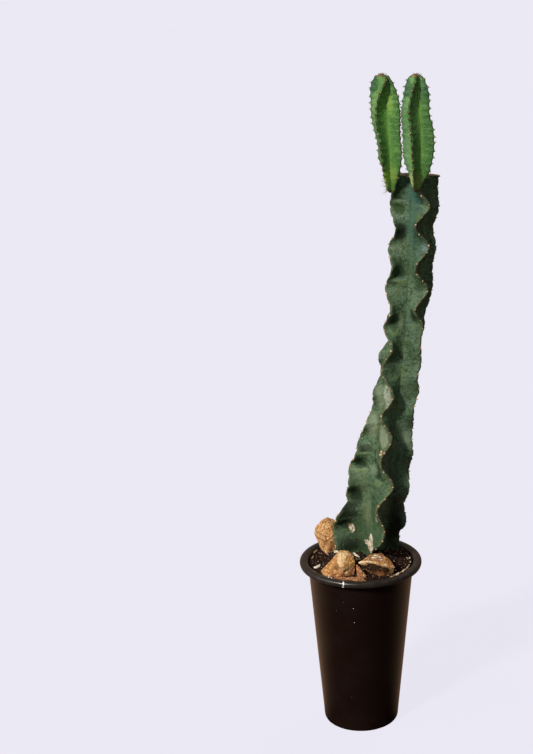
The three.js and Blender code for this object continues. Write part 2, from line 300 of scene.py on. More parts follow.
@dataclass(frozen=True)
class Mark:
    """One patch of another colour on a finish, with its shares given of its reach."""

    centre: Point
    reach: Point  # half size along X, Y and Z
    colour: Colour
    grain: float = 5  # how fine the border's wandering is
    strength: float = 1  # how much of the colour shows
    soft: float = 0.3  # share of its fading border
    ragged: float = 0.9  # share that its border wanders
    broken: float = 0  # how much of the skin under it shows in streaks


class Finish:
    """A material being put together: a colour, a roughness and a height."""

    def __init__(self, name: str, effects: Effects, colour: Colour) -> None:
        """Starts the material.

        Args:
            name: The material's name.
            effects: The shared node groups.
            colour: The colour to start from.
        """
        self.material = bpy.data.materials.new(name)
        self.bench = Bench.cleared(self.material)
        self.effects = effects
        self.place = self.bench.out(self.bench.add("ShaderNodeTexCoord"), "Object")
        self.colour: object = colour
        self.rough: object = 0.5
        self.height: object = 0.0

    def group(self, tree: Tree, **values: object) -> Socket:
        """Places a shared group on the object's coordinates, and gives its mask."""
        feeds = {"Vector": self.place, **values}
        return self.bench.out(self.bench.add("ShaderNodeGroup", feeds, node_tree=tree))

    def mottle(
        self, size: float, low: float, high: float, detail: float, seed: float, squeeze: Point = (1, 1, 1)
    ) -> Socket:
        """Makes cloudy patches of that size.

        Args:
            size: Width of a patch.
            low: Noise level where a patch starts.
            high: Noise level where it is full.
            detail: Finer layers.
            seed: Which noise.
            squeeze: How many times smaller a patch is along X, Y and Z.

        Returns:
            The mask.
        """
        place = self.bench.vector("MULTIPLY", self.place, squeeze)
        values = {"Vector": place, "Size": size, "Low": low, "High": high, "Detail": detail, "Seed": seed}
        return self.group(self.effects.mottle, **values)

    def specks(self, spacing: float, radius: float, share: float) -> Socket:
        """Makes round specks in a share of the cells of a net of that spacing."""
        return self.group(self.effects.specks, Spacing=spacing, Radius=radius, Share=share)

    def paint(self, mask: object, colour: object, strength: float = 1.0) -> None:
        """Puts a colour over the one so far, where the mask shows and at most at that strength."""
        share = mask if strength == 1.0 else self.bench.times(mask, strength)
        self.colour = self.bench.blend(share, self.colour, colour)

    def mark(self, mark: Mark) -> Socket:
        """Paints one mark.

        Args:
            mark: The mark.

        Returns:
            Its mask.
        """
        mask = self.group(
            self.effects.patch, Centre=mark.centre, Reach=mark.reach, Ragged=mark.ragged, Grain=mark.grain,
            Soft=mark.soft,
        )
        if mark.broken:
            streaks = self.mottle(2.4, 0.48, 0.6, 3.0, 31.0, (1, 1, 0.3))
            mask = self.bench.times(mask, self.bench.ramp(streaks, 0.0, 1.0, 1.0, 1.0 - mark.broken))
        self.paint(mask, mark.colour, mark.strength)
        return mask

    def vary(self, mask: object, low: float, high: float) -> None:
        """Multiplies the colour so far, by low where the mask is 0 and by high where it is 1."""
        self.colour = self.bench.scale(self.colour, self.bench.ramp(mask, 0.0, 1.0, low, high))

    def raise_by(self, mask: object, amount: float) -> None:
        """Raises the height that the light sees where the mask shows."""
        self.height = self.bench.calc("MULTIPLY_ADD", mask, amount, self.height)

    def attribute(self, name: str) -> Socket:
        """Reads a value that the mesh holds."""
        return self.bench.out(self.bench.add("ShaderNodeAttribute", attribute_name=name), "Fac")

    def done(self, specular: float) -> Material:
        """Joins everything to the shader.

        Args:
            specular: Its specular level.

        Returns:
            The finished material.
        """
        height = self.bench.times(self.height, MM)
        bump = self.bench.add("ShaderNodeBump", {"Height": height, "Distance": 1.0, "Strength": 1.0})
        shader = self.bench.add("ShaderNodeBsdfPrincipled", {
            "Base Color": self.colour, "Roughness": self.rough, "Specular IOR Level": specular,
            "Normal": bump,
        })
        self.bench.add("ShaderNodeOutputMaterial", {"Surface": shader})
        return self.material


@dataclass(frozen=True)
class Recipe:
    """A named finish, from which a material is built."""

    name: str
    plain: Colour  # colour to start from
    specular: ClassVar[float] = 0.3

    def lay(self, finish: Finish) -> None:
        """Lays the colours, the roughness and the height on a new finish."""

    def material(self, effects: Effects) -> Material:
        """Builds the material.

        Args:
            effects: The shared node groups.

        Returns:
            The material.
        """
        finish = Finish(self.name, effects, self.plain)
        self.lay(finish)
        return finish.done(self.specular)


@dataclass(frozen=True)
class SkinFinish(Recipe):
    """Waxy green skin with a corky line along the rib edges.

    The mesh holds its values share, film, knot, dry, cut and hollow. Hollow places painted shade
    in the dents and a painted highlight on their ledges. Share is 0 in a valley, 1 at the end of a
    flank and 1.25 on the outermost line of a rib.
    """

    pale: Colour  # lighter patches
    deep: Colour  # darker patches, and painted shade in the dents
    bloom: Colour  # waxy bluish film
    groove: Colour  # painted shade along the valley creases, also put in the deepest dents
    groove_foot: float  # height at which that line is lost
    flush: Colour  # tint of the skin just inside the rib edges
    edge: Colour  # cork along the rib edges and round the areoles
    cork: Colour  # dry skin and the cut top
    patch_size: float  # width of the pale and deep patches
    bloom_share: float  # how much the waxy film shows
    edge_share: float  # how much of the cork line shows
    heart: float  # how much paler the skin is near the valleys
    edge_start: float  # share at which the cork line starts
    mottling: float  # how strong the fine mottling is
    roughness: float  # lowest roughness of the skin
    marks: tuple[Mark, ...]  # scars and stains
    specular: ClassVar[float] = 0.35

    def lay_mottling(self, finish: Finish, share: Socket) -> None:
        """Paints the broad patches, the film and the fine mottling.

        Args:
            finish: The material being put together.
            share: The mesh's value share.
        """
        bench = finish.bench
        size, fine = self.patch_size, self.mottling
        finish.paint(finish.mottle(size, 0.42, 0.62, 3.0, 1.0), self.pale, 0.7)
        finish.paint(finish.mottle(size * 0.45, 0.46, 0.64, 4.0, 5.0), self.deep, 0.6)
        film = bench.times(finish.attribute("film"), finish.mottle(size * 1.6, 0.3, 0.55, 3.0, 9.0))
        finish.paint(film, self.bloom, self.bloom_share)
        inner = bench.ramp(share, 0.2, 0.75, 1.0, 0.0)
        fibres = finish.mottle(3.6, 0.4, 0.66, 3.0, 11.0, (1, 1, 0.1))
        finish.paint(bench.times(fibres, inner), self.pale, 0.35 * fine)
        finish.paint(finish.mottle(6.5, 0.5, 0.6, 5.0, 3.0), self.deep, 0.75 * fine)
        finish.paint(finish.mottle(4.2, 0.52, 0.64, 4.0, 17.0), self.bloom, 0.65 * fine)
        finish.paint(finish.mottle(2.6, 0.5, 0.66, 3.0, 19.0), self.deep, 0.7 * fine)
        finish.paint(finish.mottle(3.0, 0.56, 0.66, 3.0, 29.0), self.pale, 0.8 * fine)
        finish.paint(finish.specks(7.0, 0.9, 0.35), self.pale, 0.7 * fine)
        finish.vary(finish.mottle(2.3, 0.36, 0.64, 3.0, 37.0), 1 - 0.2 * fine, 1 + 0.18 * fine)
        finish.paint(bench.ramp(share, 0.05, 0.55, 1.0, 0.0), self.pale, self.heart)
        # Painted shade in the dents, darkest where they are deepest, and a painted highlight on the ledge
        # under each
        hollow = finish.attribute("hollow")
        finish.paint(bench.ramp(hollow, 0.1, 0.7), self.deep, 0.85)
        finish.paint(bench.ramp(hollow, 0.4, 1.1), self.groove, 0.75)
        finish.paint(bench.ramp(hollow, -0.25, 0.0, 1.0, 0.0), self.pale, 0.6)

    def lay_edge(self, finish: Finish, share: Socket) -> Socket:
        """Paints the broken cork line and the brown round the areoles.

        Args:
            finish: The material being put together.
            share: The mesh's value share.

        Returns:
            Where the cork shows.
        """
        bench = finish.bench
        finish.paint(bench.ramp(share, 0.85 - 0.5 * self.heart, 1.1), self.flush, 0.35 + 0.3 * self.heart)
        outer = bench.ramp(share, self.edge_start, self.edge_start + 0.06)
        line = bench.times(outer, finish.mottle(7.0, 0.38, 0.56, 4.0, 4.0))
        knot = bench.ramp(finish.attribute("knot"), 0.65, 0.95)
        near = bench.times(knot, bench.ramp(share, 1.12, 1.22))
        cork = bench.calc("MAXIMUM", line, near)
        finish.paint(cork, self.edge, self.edge_share)
        return cork

    def lay(self, finish: Finish) -> None:
        """Lays the whole skin on.

        Args:
            finish: The material being put together.
        """
        bench = finish.bench
        share = finish.attribute("share")
        self.lay_mottling(finish, share)
        # Painted shade along the valley creases, fading out below groove_foot
        rise = bench.out(bench.add("ShaderNodeSeparateXYZ", {"Vector": finish.place}), "Z")
        kept = bench.ramp(rise, self.groove_foot * MM, (self.groove_foot + 110) * MM, 0.1, 0.5)
        finish.paint(bench.times(bench.ramp(share, 0.0, 0.07, 1.0, 0.0), kept), self.groove)
        cork = self.lay_edge(finish, share)
        grain = finish.mottle(4.0, 0.3, 0.7, 4.0, 7.0)
        pleats = finish.mottle(8.0, 0.35, 0.7, 3.0, 23.0, (0.3, 0.3, 1))
        finish.raise_by(grain, 0.5 * self.mottling)
        finish.raise_by(bench.times(pleats, bench.ramp(share, 0.3, 0.9)), 0.9 * self.mottling)
        for mark in self.marks:
            finish.raise_by(bench.times(finish.mark(mark), grain), 0.5 * mark.strength)
        shaggy = finish.mottle(6.0, 0.3, 0.62, 4.0, 2.0)
        dry = bench.calc("MAXIMUM", finish.attribute("dry"), finish.attribute("cut"))
        finish.paint(dry, bench.blend(bench.times(shaggy, 0.45), self.cork, self.edge))
        finish.raise_by(bench.times(dry, shaggy), 0.8)
        skin = bench.ramp(grain, 0.0, 1.0, self.roughness, self.roughness + 0.16)
        finish.rough = bench.ramp(bench.calc("MAXIMUM", dry, cork), 0.0, 1.0, skin, 0.9)


@dataclass(frozen=True)
class StoneFinish(Recipe):
    """Weathered tan stone. The mesh holds its values crease and ridge."""

    pale: Colour  # pale faces and patches, and ridge edges, partly wear and partly painted highlight
    warm: Colour  # golden and rusty patches
    dark: Colour  # dirt in the hollows
    marks: tuple[Mark, ...] = ()  # bright and coloured patches, under the fine grain
    shades: tuple[Mark, ...] = ()  # painted shade and dark colour patches over it
    specular: ClassVar[float] = 0.35

    def lay(self, finish: Finish) -> None:
        """Lays the stone's colours and grain on.

        Args:
            finish: The material being put together.
        """
        bench = finish.bench
        finish.paint(finish.mottle(24.0, 0.42, 0.58, 4.0, 11.0), self.warm, 0.75)
        finish.paint(finish.mottle(12.0, 0.5, 0.62, 5.0, 12.0), self.pale, 0.45)
        finish.paint(finish.mottle(9.0, 0.54, 0.62, 6.0, 15.0), self.dark, 0.35)
        coarse = finish.mottle(5.0, 0.38, 0.62, 5.0, 13.0)
        fine = finish.mottle(2.4, 0.38, 0.62, 4.0, 14.0)
        for mark in self.marks:
            finish.mark(mark)
        finish.paint(bench.times(coarse, fine), self.pale, 0.6)
        finish.vary(fine, 0.72, 1.12)
        finish.paint(finish.mottle(3.4, 0.58, 0.66, 3.0, 16.0), self.dark, 0.4)
        # Painted shade on shaded faces, with other dark colour patches, over the grain
        for mark in self.shades:
            finish.mark(mark)
        flecks = bench.times(coarse, finish.mottle(3.0, 0.52, 0.62, 4.0, 18.0))
        finish.paint(flecks, self.warm, 0.3)
        finish.vary(coarse, 0.86, 1.14)
        finish.paint(finish.specks(6.0, 1.2, 0.15), self.pale, 0.85)
        # Pale edge along the ridges, partly wear and partly painted highlight
        worn = bench.times(finish.attribute("ridge"), bench.ramp(coarse, 0.0, 0.6, 0.5, 1.0))
        finish.paint(worn, self.pale, 0.95)
        finish.paint(finish.attribute("crease"), self.dark, 0.85)
        finish.raise_by(coarse, 1.0)
        finish.raise_by(fine, 0.5)
        finish.rough = bench.ramp(fine, 0.0, 1.0, 0.7, 0.92)


@dataclass(frozen=True)
class GritFinish(Recipe):
    """Loose bits whose colour changes by the mesh's value tone, from the plain dark one to pale."""

    usual: Colour
    pale: Colour
    roughness: float = 0.85
    grain: float = 1.5  # size of the surface grain

    def lay(self, finish: Finish) -> None:
        """Lays the colours and the grain on.

        Args:
            finish: The material being put together.
        """
        bench = finish.bench
        tone = finish.attribute("tone")
        finish.paint(bench.ramp(tone, 0.0, 0.55), self.usual)
        finish.paint(bench.ramp(tone, 0.6, 1.0), self.pale)
        grain = finish.mottle(self.grain, 0.3, 0.7, 3.0, 21.0)
        finish.paint(grain, self.plain, 0.35)
        finish.raise_by(grain, 0.25)
        finish.rough = bench.ramp(grain, 0.0, 1.0, self.roughness - 0.12, self.roughness)


@dataclass(frozen=True)
class BedFinish(Recipe):
    """Damp potting mix."""

    dark: Colour  # painted shade in the hollows between the crumbs
    bark: Colour  # reddish bits
    pale: Colour  # pale fibres and dust

    def lay(self, finish: Finish) -> None:
        """Lays the crumbs' colours and heights on.

        Args:
            finish: The material being put together.
        """
        crumbs = finish.mottle(3.4, 0.38, 0.62, 4.0, 31.0)
        fine = finish.mottle(1.2, 0.3, 0.7, 3.0, 32.0)
        # Painted shade in the hollows, which the same mask lowers below
        finish.paint(crumbs, self.dark, 0.7)
        finish.paint(finish.mottle(11.0, 0.5, 0.66, 4.0, 33.0), self.bark, 0.5)
        finish.paint(finish.specks(4.2, 0.9, 0.22), self.bark, 0.7)
        finish.paint(finish.specks(6.5, 0.6, 0.3), self.pale, 0.7)
        finish.raise_by(crumbs, -1.1)
        finish.raise_by(fine, 0.4)
        finish.rough = finish.bench.ramp(fine, 0.0, 1.0, 0.75, 0.95)


@dataclass(frozen=True)
class PlasticFinish(Recipe):
    """Moulded pot plastic with dust and fine scuffs. The mesh holds its value rim."""

    worn: Colour  # where it is rubbed
    dust: Colour
    roughness: float  # where it is clean
    marks: tuple[Mark, ...]  # specks and stains
    specular: ClassVar[float] = 0.5

    def lay(self, finish: Finish) -> None:
        """Lays the wear, the dust and the scuffs on.

        Args:
            finish: The material being put together.
        """
        bench = finish.bench
        rim = finish.attribute("rim")
        scuff = finish.mottle(9.0, 0.45, 0.75, 5.0, 42.0)
        finish.paint(finish.mottle(60.0, 0.35, 0.7, 4.0, 41.0), self.worn, 0.15)
        finish.paint(rim, self.worn, 0.7)
        finish.paint(bench.times(rim, scuff), self.dust, 0.1)
        finish.paint(finish.specks(23.0, 0.7, 0.2), self.dust, 0.6)
        finish.paint(finish.specks(9.0, 0.45, 0.12), self.dust, 0.3)
        for mark in self.marks:
            finish.mark(mark)
        finish.raise_by(finish.mottle(0.9, 0.3, 0.7, 2.0, 43.0), 0.01)
        finish.raise_by(scuff, 0.03)
        scuffed = bench.calc("MULTIPLY_ADD", scuff, 0.1, self.roughness)
        finish.rough = bench.calc("MULTIPLY_ADD", rim, 0.1, scuffed)


@dataclass(frozen=True)
class FibreFinish(Recipe):
    """Felt, wool or spines: two colours mixed by a fine noise."""

    other: Colour  # second colour
    size: float  # width of its patches
    roughness: float = 0.9
    specular: ClassVar[float] = 0.25

    def lay(self, finish: Finish) -> None:
        """Lays both colours and a fine unevenness on.

        Args:
            finish: The material being put together.
        """
        finish.paint(finish.mottle(self.size, 0.42, 0.62, 2.0, 51.0), self.other, 0.8)
        finish.raise_by(finish.mottle(self.size * 0.2, 0.3, 0.7, 2.0, 52.0), 0.2)
        finish.rough = self.roughness


# Meshes


def put(name: str, data: bpy.types.ID) -> Piece:
    """Makes an object and puts it in the scene, at the origin.

    Args:
        name: The object's name.
        data: Its mesh, light or camera.

    Returns:
        The object.
    """
    piece = bpy.data.objects.new(name, data)
    bpy.context.scene.collection.objects.link(piece)
    return piece


def hold(mesh: bpy.types.Mesh, label: str, numbers: object) -> None:
    """Stores one number for each corner of a mesh, under a name."""
    layer = mesh.attributes.new(label, "FLOAT", "POINT")
    layer.data.foreach_set("value", np.asarray(numbers, dtype=np.float32))


def new_piece(
    name: str, points: np.ndarray, faces: list[Face], material: Material, values: dict[str, np.ndarray],
    smooth: bool = True,
) -> Piece:
    """Makes an object from corners and faces.

    Args:
        name: The piece's name.
        points: Corners, one row each.
        faces: Corner numbers of each face, anticlockwise from outside.
        material: The piece's material.
        values: Numbers that the mesh holds for each corner, by name.
        smooth: Whether the faces are shaded smooth.

    Returns:
        The new object, at the origin.
    """
    mesh = bpy.data.meshes.new(name)
    mesh.from_pydata((points * MM).tolist(), [], faces)
    for label, numbers in values.items():
        hold(mesh, label, numbers)
    mesh.materials.append(material)
    if smooth:
        mesh.shade_smooth()
    mesh.update()
    return put(name, mesh)


def hand_over(piece: Piece, slot: Slot, *nodes: str) -> None:
    """Gives a finished piece to the frame and reports it.

    Args:
        piece: The finished piece.
        slot: The record's slot that it is reported under.
        *nodes: CAD nodes that it stands for.
    """
    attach(piece, BODY)
    if nodes:
        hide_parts(*nodes)
    stands_for = f", stands for {', '.join(nodes)}" if nodes else ""
    LOG.info("%s: %d faces, slot %s%s", piece.name, len(piece.data.polygons), slot.value, stands_for)


def roughen(mesh: bpy.types.Mesh, size: float, amount: float, seed: float) -> None:
    """Moves each corner along its normal by a smooth noise of three layers.

    Args:
        mesh: The mesh to change.
        size: Width of a bump.
        amount: How far a corner moves at most.
        seed: Which noise.
    """
    shift = Vector((seed * 7.3, seed * 3.1, seed * 5.7))
    normals = [corner.vector.copy() for corner in mesh.vertex_normals]
    for vertex, normal in zip(mesh.vertices, normals):
        level = noise.fractal(vertex.co / (size * MM) + shift, 1.0, 2.0, 3)
        vertex.co += normal * (level * amount * MM)
    mesh.update()


def closed_body(rings: list[np.ndarray], under: object, over: object) -> tuple[np.ndarray, list[Face]]:
    """Makes a body of rings of corners, closed by one more point at either end.

    Args:
        rings: Corners of each ring, anticlockwise from above where the rings rise.
        under: The point that closes the first ring.
        over: The point that closes the last.

    Returns:
        All corners, one row each, and the faces, facing out.
    """
    around = len(rings[0])
    last = (len(rings) - 1) * around
    middle = last + around
    steps = [(j, (j + 1) % around) for j in range(around)]
    faces = [
        (ring + j, ring + k, ring + around + k, ring + around + j)
        for ring in range(0, last, around)
        for j, k in steps
    ]
    for j, k in steps:
        faces += [(middle, k, j), (middle + 1, last + j, last + k)]
    return np.vstack([*rings, under, over]), faces


def circle(steps: int) -> np.ndarray:
    """Points of a circle of radius 1, anticlockwise from above, one row each."""
    angles = np.linspace(0, 2 * math.pi, steps, endpoint=False)
    return np.stack([np.cos(angles), np.sin(angles)], axis=1)


# Stems


@dataclass(frozen=True)
class Track:
    """A smooth curve through stations of a height and a value."""

    stations: Stations

    def at(self, height: np.ndarray) -> np.ndarray:
        """Reads the curve, which stays level past its ends.

        Args:
            height: Heights.

        Returns:
            The values there.
        """
        z, value = np.array(self.stations, dtype=float).T
        rate = np.empty_like(value)
        rate[1:-1] = (value[2:] - value[:-2]) / (z[2:] - z[:-2])
        rate[0] = (value[1] - value[0]) / (z[1] - z[0])
        rate[-1] = (value[-1] - value[-2]) / (z[-1] - z[-2])
        level = np.clip(height, z[0], z[-1])
        i = np.clip(np.searchsorted(z, level, side="left") - 1, 0, len(z) - 2)
        span = z[i + 1] - z[i]
        t = (level - z[i]) / span
        square, cube = t**2, t**3
        return (
            (2 * cube - 3 * square + 1) * value[i]
            + (cube - 2 * square + t) * span * rate[i]
            + (3 * square - 2 * cube) * value[i + 1]
            + (cube - square) * span * rate[i + 1]
        )


@dataclass(frozen=True)
class Rib:
    """One rib of a stem."""

    angle: Track  # turn from the stem's own turn, in degrees
    reach: Track  # distance of its edge from the axis
    swing_heights: tuple[float, ...]  # where its edge swings furthest anticlockwise
    swing: Track  # how far the edge swings


@dataclass(frozen=True)
class Areole:
    """One felt cushion on a rib edge."""

    place: np.ndarray
    outward: np.ndarray
    size: float  # share of the usual


@dataclass(frozen=True)
class Dent:
    """A hollow in a rib's flank, with a sharp ledge under it."""

    centre: Point
    wide: float  # half its width
    tall: float  # half its height
    depth: float
    dark: float = 1.0  # how dark its painted shade is, as a share of the usual


DENT_PROFILE = Track(((-1.9, 0), (-1.3, -0.45), (-0.95, 0.7), (-0.6, 1), (0.1, 0.85), (0.65, 0.5), (1.1, 0)))


@dataclass
class RibbedStem:
    """A stem whose thin ribs swing from side to side."""

    name: str  # first part of its pieces' names
    node: str
    slot: Slot
    bottom: float
    top: float
    axis_x: Track
    axis_y: Track
    twist: Track  # turn of the ribs, in degrees from the front towards +X
    valley: Track  # distance of the valleys from the axis
    ribs: tuple[Rib, ...]  # anticlockwise from above
    film: tuple[float, ...]  # waxy film of each valley, the one after the first rib first
    dry: Track  # how dry and brown the skin is by height
    edge_half: float  # half thickness of a rib's edge
    edge_relief: float  # how far the edge comes out at an areole
    areole_pitch: float  # distance between areoles along an edge
    first_areole: float  # height of the lowest
    last_notch: float  # height below which the edges are even
    wrinkle_size: float = 22.0
    wrinkle_height: float = 0.8
    top_profile: Track = Track(((0, 0), (1, 0)))  # rise of a cut top, by X
    top_rise: float = 0.0  # rise of a rounded top's middle
    flank_steps: int = 11  # from a valley to an edge
    rings_per_pitch: int = 8  # rings of corners between two areoles
    tip_angles: tuple[float, ...] = (60.0, 30.0, 0.0, -30.0, -60.0)  # corners round a rib's edge
    extra_areoles: tuple[Areole, ...] = ()  # large ones that the rule for the rest doesn't give
    dents: tuple[Dent, ...] = ()

    def lobe(self, rib: int, z: np.ndarray) -> np.ndarray:
        """How near heights on a rib are to an areole, 0 halfway between two and 1 at one."""
        step = (z - self.first_areole) / self.areole_pitch - (rib % 2) / 2
        return 1 - np.abs(np.sin(math.pi * step))

    def points(self, rib: int, z: np.ndarray, share: float, side: float, tip: float = 0.0) -> np.ndarray:
        """Points on a rib at given heights.

        Args:
            rib: The rib's number.
            z: Heights.
            share: 0 at the valley, 1 at the edge.
            side: Which flank, -1 or 1, or anything between on the rounded edge.
            tip: How far round the edge, 0 at the flank and 1 at its outermost line.

        Returns:
            One row for each height.
        """
        data = self.ribs[rib]
        turn = np.radians(self.twist.at(z) + data.angle.at(z))
        inner = self.valley.at(z) * math.sqrt(0.5)
        lobe = self.lobe(rib, z)
        notched = np.clip((z - self.last_notch) / 12, 0, 1)
        outer = data.reach.at(z) + self.edge_relief * lobe * notched
        half = np.minimum(self.edge_half * (1 + 0.25 * lobe * notched), outer * 0.45)
        swings = Track(tuple(zip(data.swing_heights, range(len(data.swing_heights)))))
        swing = data.swing.at(z) * np.cos(2 * math.pi * swings.at(z))
        out = inner + (outer - inner) * share + half * 0.9 * tip
        thickness = half + (inner - half) * (1 - share) ** 1.25
        across = swing * share**1.5 + side * thickness
        x = self.axis_x.at(z) + np.sin(turn) * out + np.cos(turn) * across
        y = self.axis_y.at(z) - np.cos(turn) * out + np.sin(turn) * across
        return np.stack([x, y, z], axis=1)

    def heights(self) -> np.ndarray:
        """Places the rings of corners.

        Returns:
            Their heights.
        """
        step = self.areole_pitch / self.rings_per_pitch
        inner = np.arange(self.first_areole - 4 * self.areole_pitch, self.top - 0.4 * step, step)
        inner = inner[inner > self.bottom + 0.4 * step]
        return np.concatenate([[self.bottom], inner, [self.top]])

    def columns(self) -> list[tuple[int, float, float, float]]:
        """Places the lines of corners up the stem, in order round it.

        Returns:
            Rib, share, side and tip of each line.
        """
        shares = [i / self.flank_steps for i in range(self.flank_steps + 1)]
        turns = [math.radians(angle) for angle in self.tip_angles]
        lines = []
        for rib in range(len(self.ribs)):
            lines += [(rib, share, -1.0, 0.0) for share in shares]
            lines += [(rib, 1.0, -math.sin(turn), math.cos(turn)) for turn in turns]
            lines += [(rib, share, 1.0, 0.0) for share in reversed(shares[1:])]
        return lines

    def skin(self, material: Material) -> Piece:
        """Makes the stem's body, closed at both ends.

        Args:
            material: Its material.

        Returns:
            The piece.
        """
        z, lines = self.heights(), self.columns()
        grid = np.stack([self.points(rib, z, share, side, tip) for rib, share, side, tip in lines], axis=1)
        grid[-1, :, 2] += self.top_profile.at(grid[-1, :, 0])
        caps = self.top_rings(grid[-1])
        rings = [*grid, *caps]
        foot = [self.axis_x.at(z[:1])[0], self.axis_y.at(z[:1])[0], z[0]]
        peak = rings[-1].mean(axis=0) + np.array([0, 0, self.top_rise])
        points, faces = closed_body(rings, foot, peak)
        rows = self.values(np.append(z, [z[-1]] * len(caps)), lines)
        rows["cut"][len(z) - 1:] = float(len(caps) > 0)
        values = {label: np.append(row, [row[0].mean(), row[-1].mean()]) for label, row in rows.items()}
        piece = new_piece(f"{self.name}_skin", points, faces, material, values)
        roughen(piece.data, self.wrinkle_size, self.wrinkle_height, float(len(self.name)))
        self.press(piece.data)
        return piece

    def press(self, mesh: bpy.types.Mesh) -> None:
        """Presses the hollows in and stores them as the value hollow, below 0 on their ledges.

        Args:
            mesh: The stem's mesh.
        """
        count = len(mesh.vertices)
        places, shares = np.empty(3 * count), np.empty(count)
        mesh.vertices.foreach_get("co", places)
        mesh.attributes["share"].data.foreach_get("value", shares)
        places = places.reshape(-1, 3) / MM
        normals = np.array([tuple(corner.vector) for corner in mesh.vertex_normals])
        hollow = np.zeros(count)
        for dent in self.dents:
            away = places - dent.centre
            facing = normals[np.argmin(np.linalg.norm(away, axis=1))]
            level = np.clip(1 - (np.linalg.norm(away[:, :2], axis=1) / dent.wide) ** 2, 0, 1)
            level *= np.clip((normals @ facing - 0.1) / 0.4, 0, 1) * np.clip((1.05 - shares) / 0.3, 0, 1)
            level *= DENT_PROFILE.at(away[:, 2] / dent.tall)
            places -= normals * (dent.depth * level)[:, None]
            # dark sets how strong the painted shade of this dent is
            level *= dent.dark
            hollow = np.where(np.abs(level) > np.abs(hollow), level, hollow)
        mesh.vertices.foreach_set("co", (places * MM).ravel())
        # hollow places painted shade in the dents and a painted highlight on their ledges
        hold(mesh, "hollow", hollow)
        mesh.update()

    def values(self, z: np.ndarray, lines: list[tuple[int, float, float, float]]) -> dict[str, np.ndarray]:
        """Numbers that the finish reads, with the value cut still 0.

        Args:
            z: Heights of the rings.
            lines: The lines of corners, as columns gives them.

        Returns:
            One row for each ring and one column for each line, by the number's name.
        """
        level = np.ones((len(z), len(lines)))
        film = [
            self.film[rib] * (1 + side) / 2 + self.film[rib - 1] * (1 - side) / 2
            for rib, _, side, _ in lines
        ]
        return {
            "share": level * [share + 0.25 * tip for _, share, _, tip in lines],
            "film": level * film,
            "knot": np.stack([self.lobe(rib, z) for rib, _, _, _ in lines], axis=1),
            "dry": self.dry.at(z)[:, None] * level,
            "cut": 0 * level,
        }

    def top_rings(self, rim: np.ndarray) -> list[np.ndarray]:
        """Rings of corners of a cut face inside the top ring, none where the top isn't cut."""
        return []

    def areoles(self) -> list[Areole]:
        """Places the felt cushions along the rib edges.

        Returns:
            The cushions.
        """
        found = list(self.extra_areoles)
        for rib in range(len(self.ribs)):
            offset = self.areole_pitch * (rib % 2) / 2
            heights = np.arange(self.first_areole + offset, self.top - 3, self.areole_pitch)
            heights = heights[heights > max(self.last_notch - 12, self.bottom + 22)]
            heights = heights + 0.16 * self.areole_pitch * np.sin(2.1 * heights + 1.7 * rib)
            behind = self.points(rib, heights, 0.75, 0.0)
            for place, back in zip(self.points(rib, heights, 1.0, 0.0, 1.0), behind):
                outward = place - back
                found.append(Areole(place, outward / np.linalg.norm(outward), 1.0))
        return found


@dataclass
class OldStem(RibbedStem):
    """The old stem, with a dry cut top."""

    lip: float = 1.2  # rise of the callus at the cut's border
    sink: float = 3.0  # depth of the cut's middle
    cut_steps: tuple[tuple[float, float], ...] = (  # place from the middle, and share of lip or sink
        (0.995, 0.5), (0.975, 0.9), (0.94, 1.0), (0.86, 0.5), (0.7, -0.3), (0.5, -0.8), (0.28, -1.0),
        (0.1, -1.0),
    )

    def top_rings(self, rim: np.ndarray) -> list[np.ndarray]:
        """The cut face: a callus at the border and a hollow in the middle.

        Args:
            rim: The top ring's corners.

        Returns:
            Each ring's corners.
        """
        middle = rim.mean(axis=0)
        rings = []
        for share, rise in self.cut_steps:
            ring = middle + (rim - middle) * np.array([share, share, 1.0])
            ring[:, 2] += self.lip * max(rise, 0) + self.sink * min(rise, 0)
            rings.append(ring)
        return rings


@dataclass
class YoungShoot(RibbedStem):
    """A young shoot, with a tuft of spines on its tip."""

    tuft_areoles: int = 12
    tuft_size: float = 1.45

    def areoles(self) -> list[Areole]:
        """Places the felt cushions along the edges, and the crowded ones on the tip.

        Returns:
            The cushions.
        """
        found = super().areoles()
        top = np.array([self.top])
        x, y = self.axis_x.at(top)[0], self.axis_y.at(top)[0]
        for i in range(self.tuft_areoles):
            turn, out = 2.4 * i, 1.2 * math.sqrt(i)
            side, ahead = math.cos(turn), math.sin(turn)
            place = np.array([x + out * 1.7 * side, y + out * ahead, self.top + 0.8 - 0.12 * out**2])
            outward = np.array([0.28 * out * side, 0.28 * out * ahead, 1.0])
            found.append(Areole(place, outward / np.linalg.norm(outward), self.tuft_size))
        return found


# Things that repeat


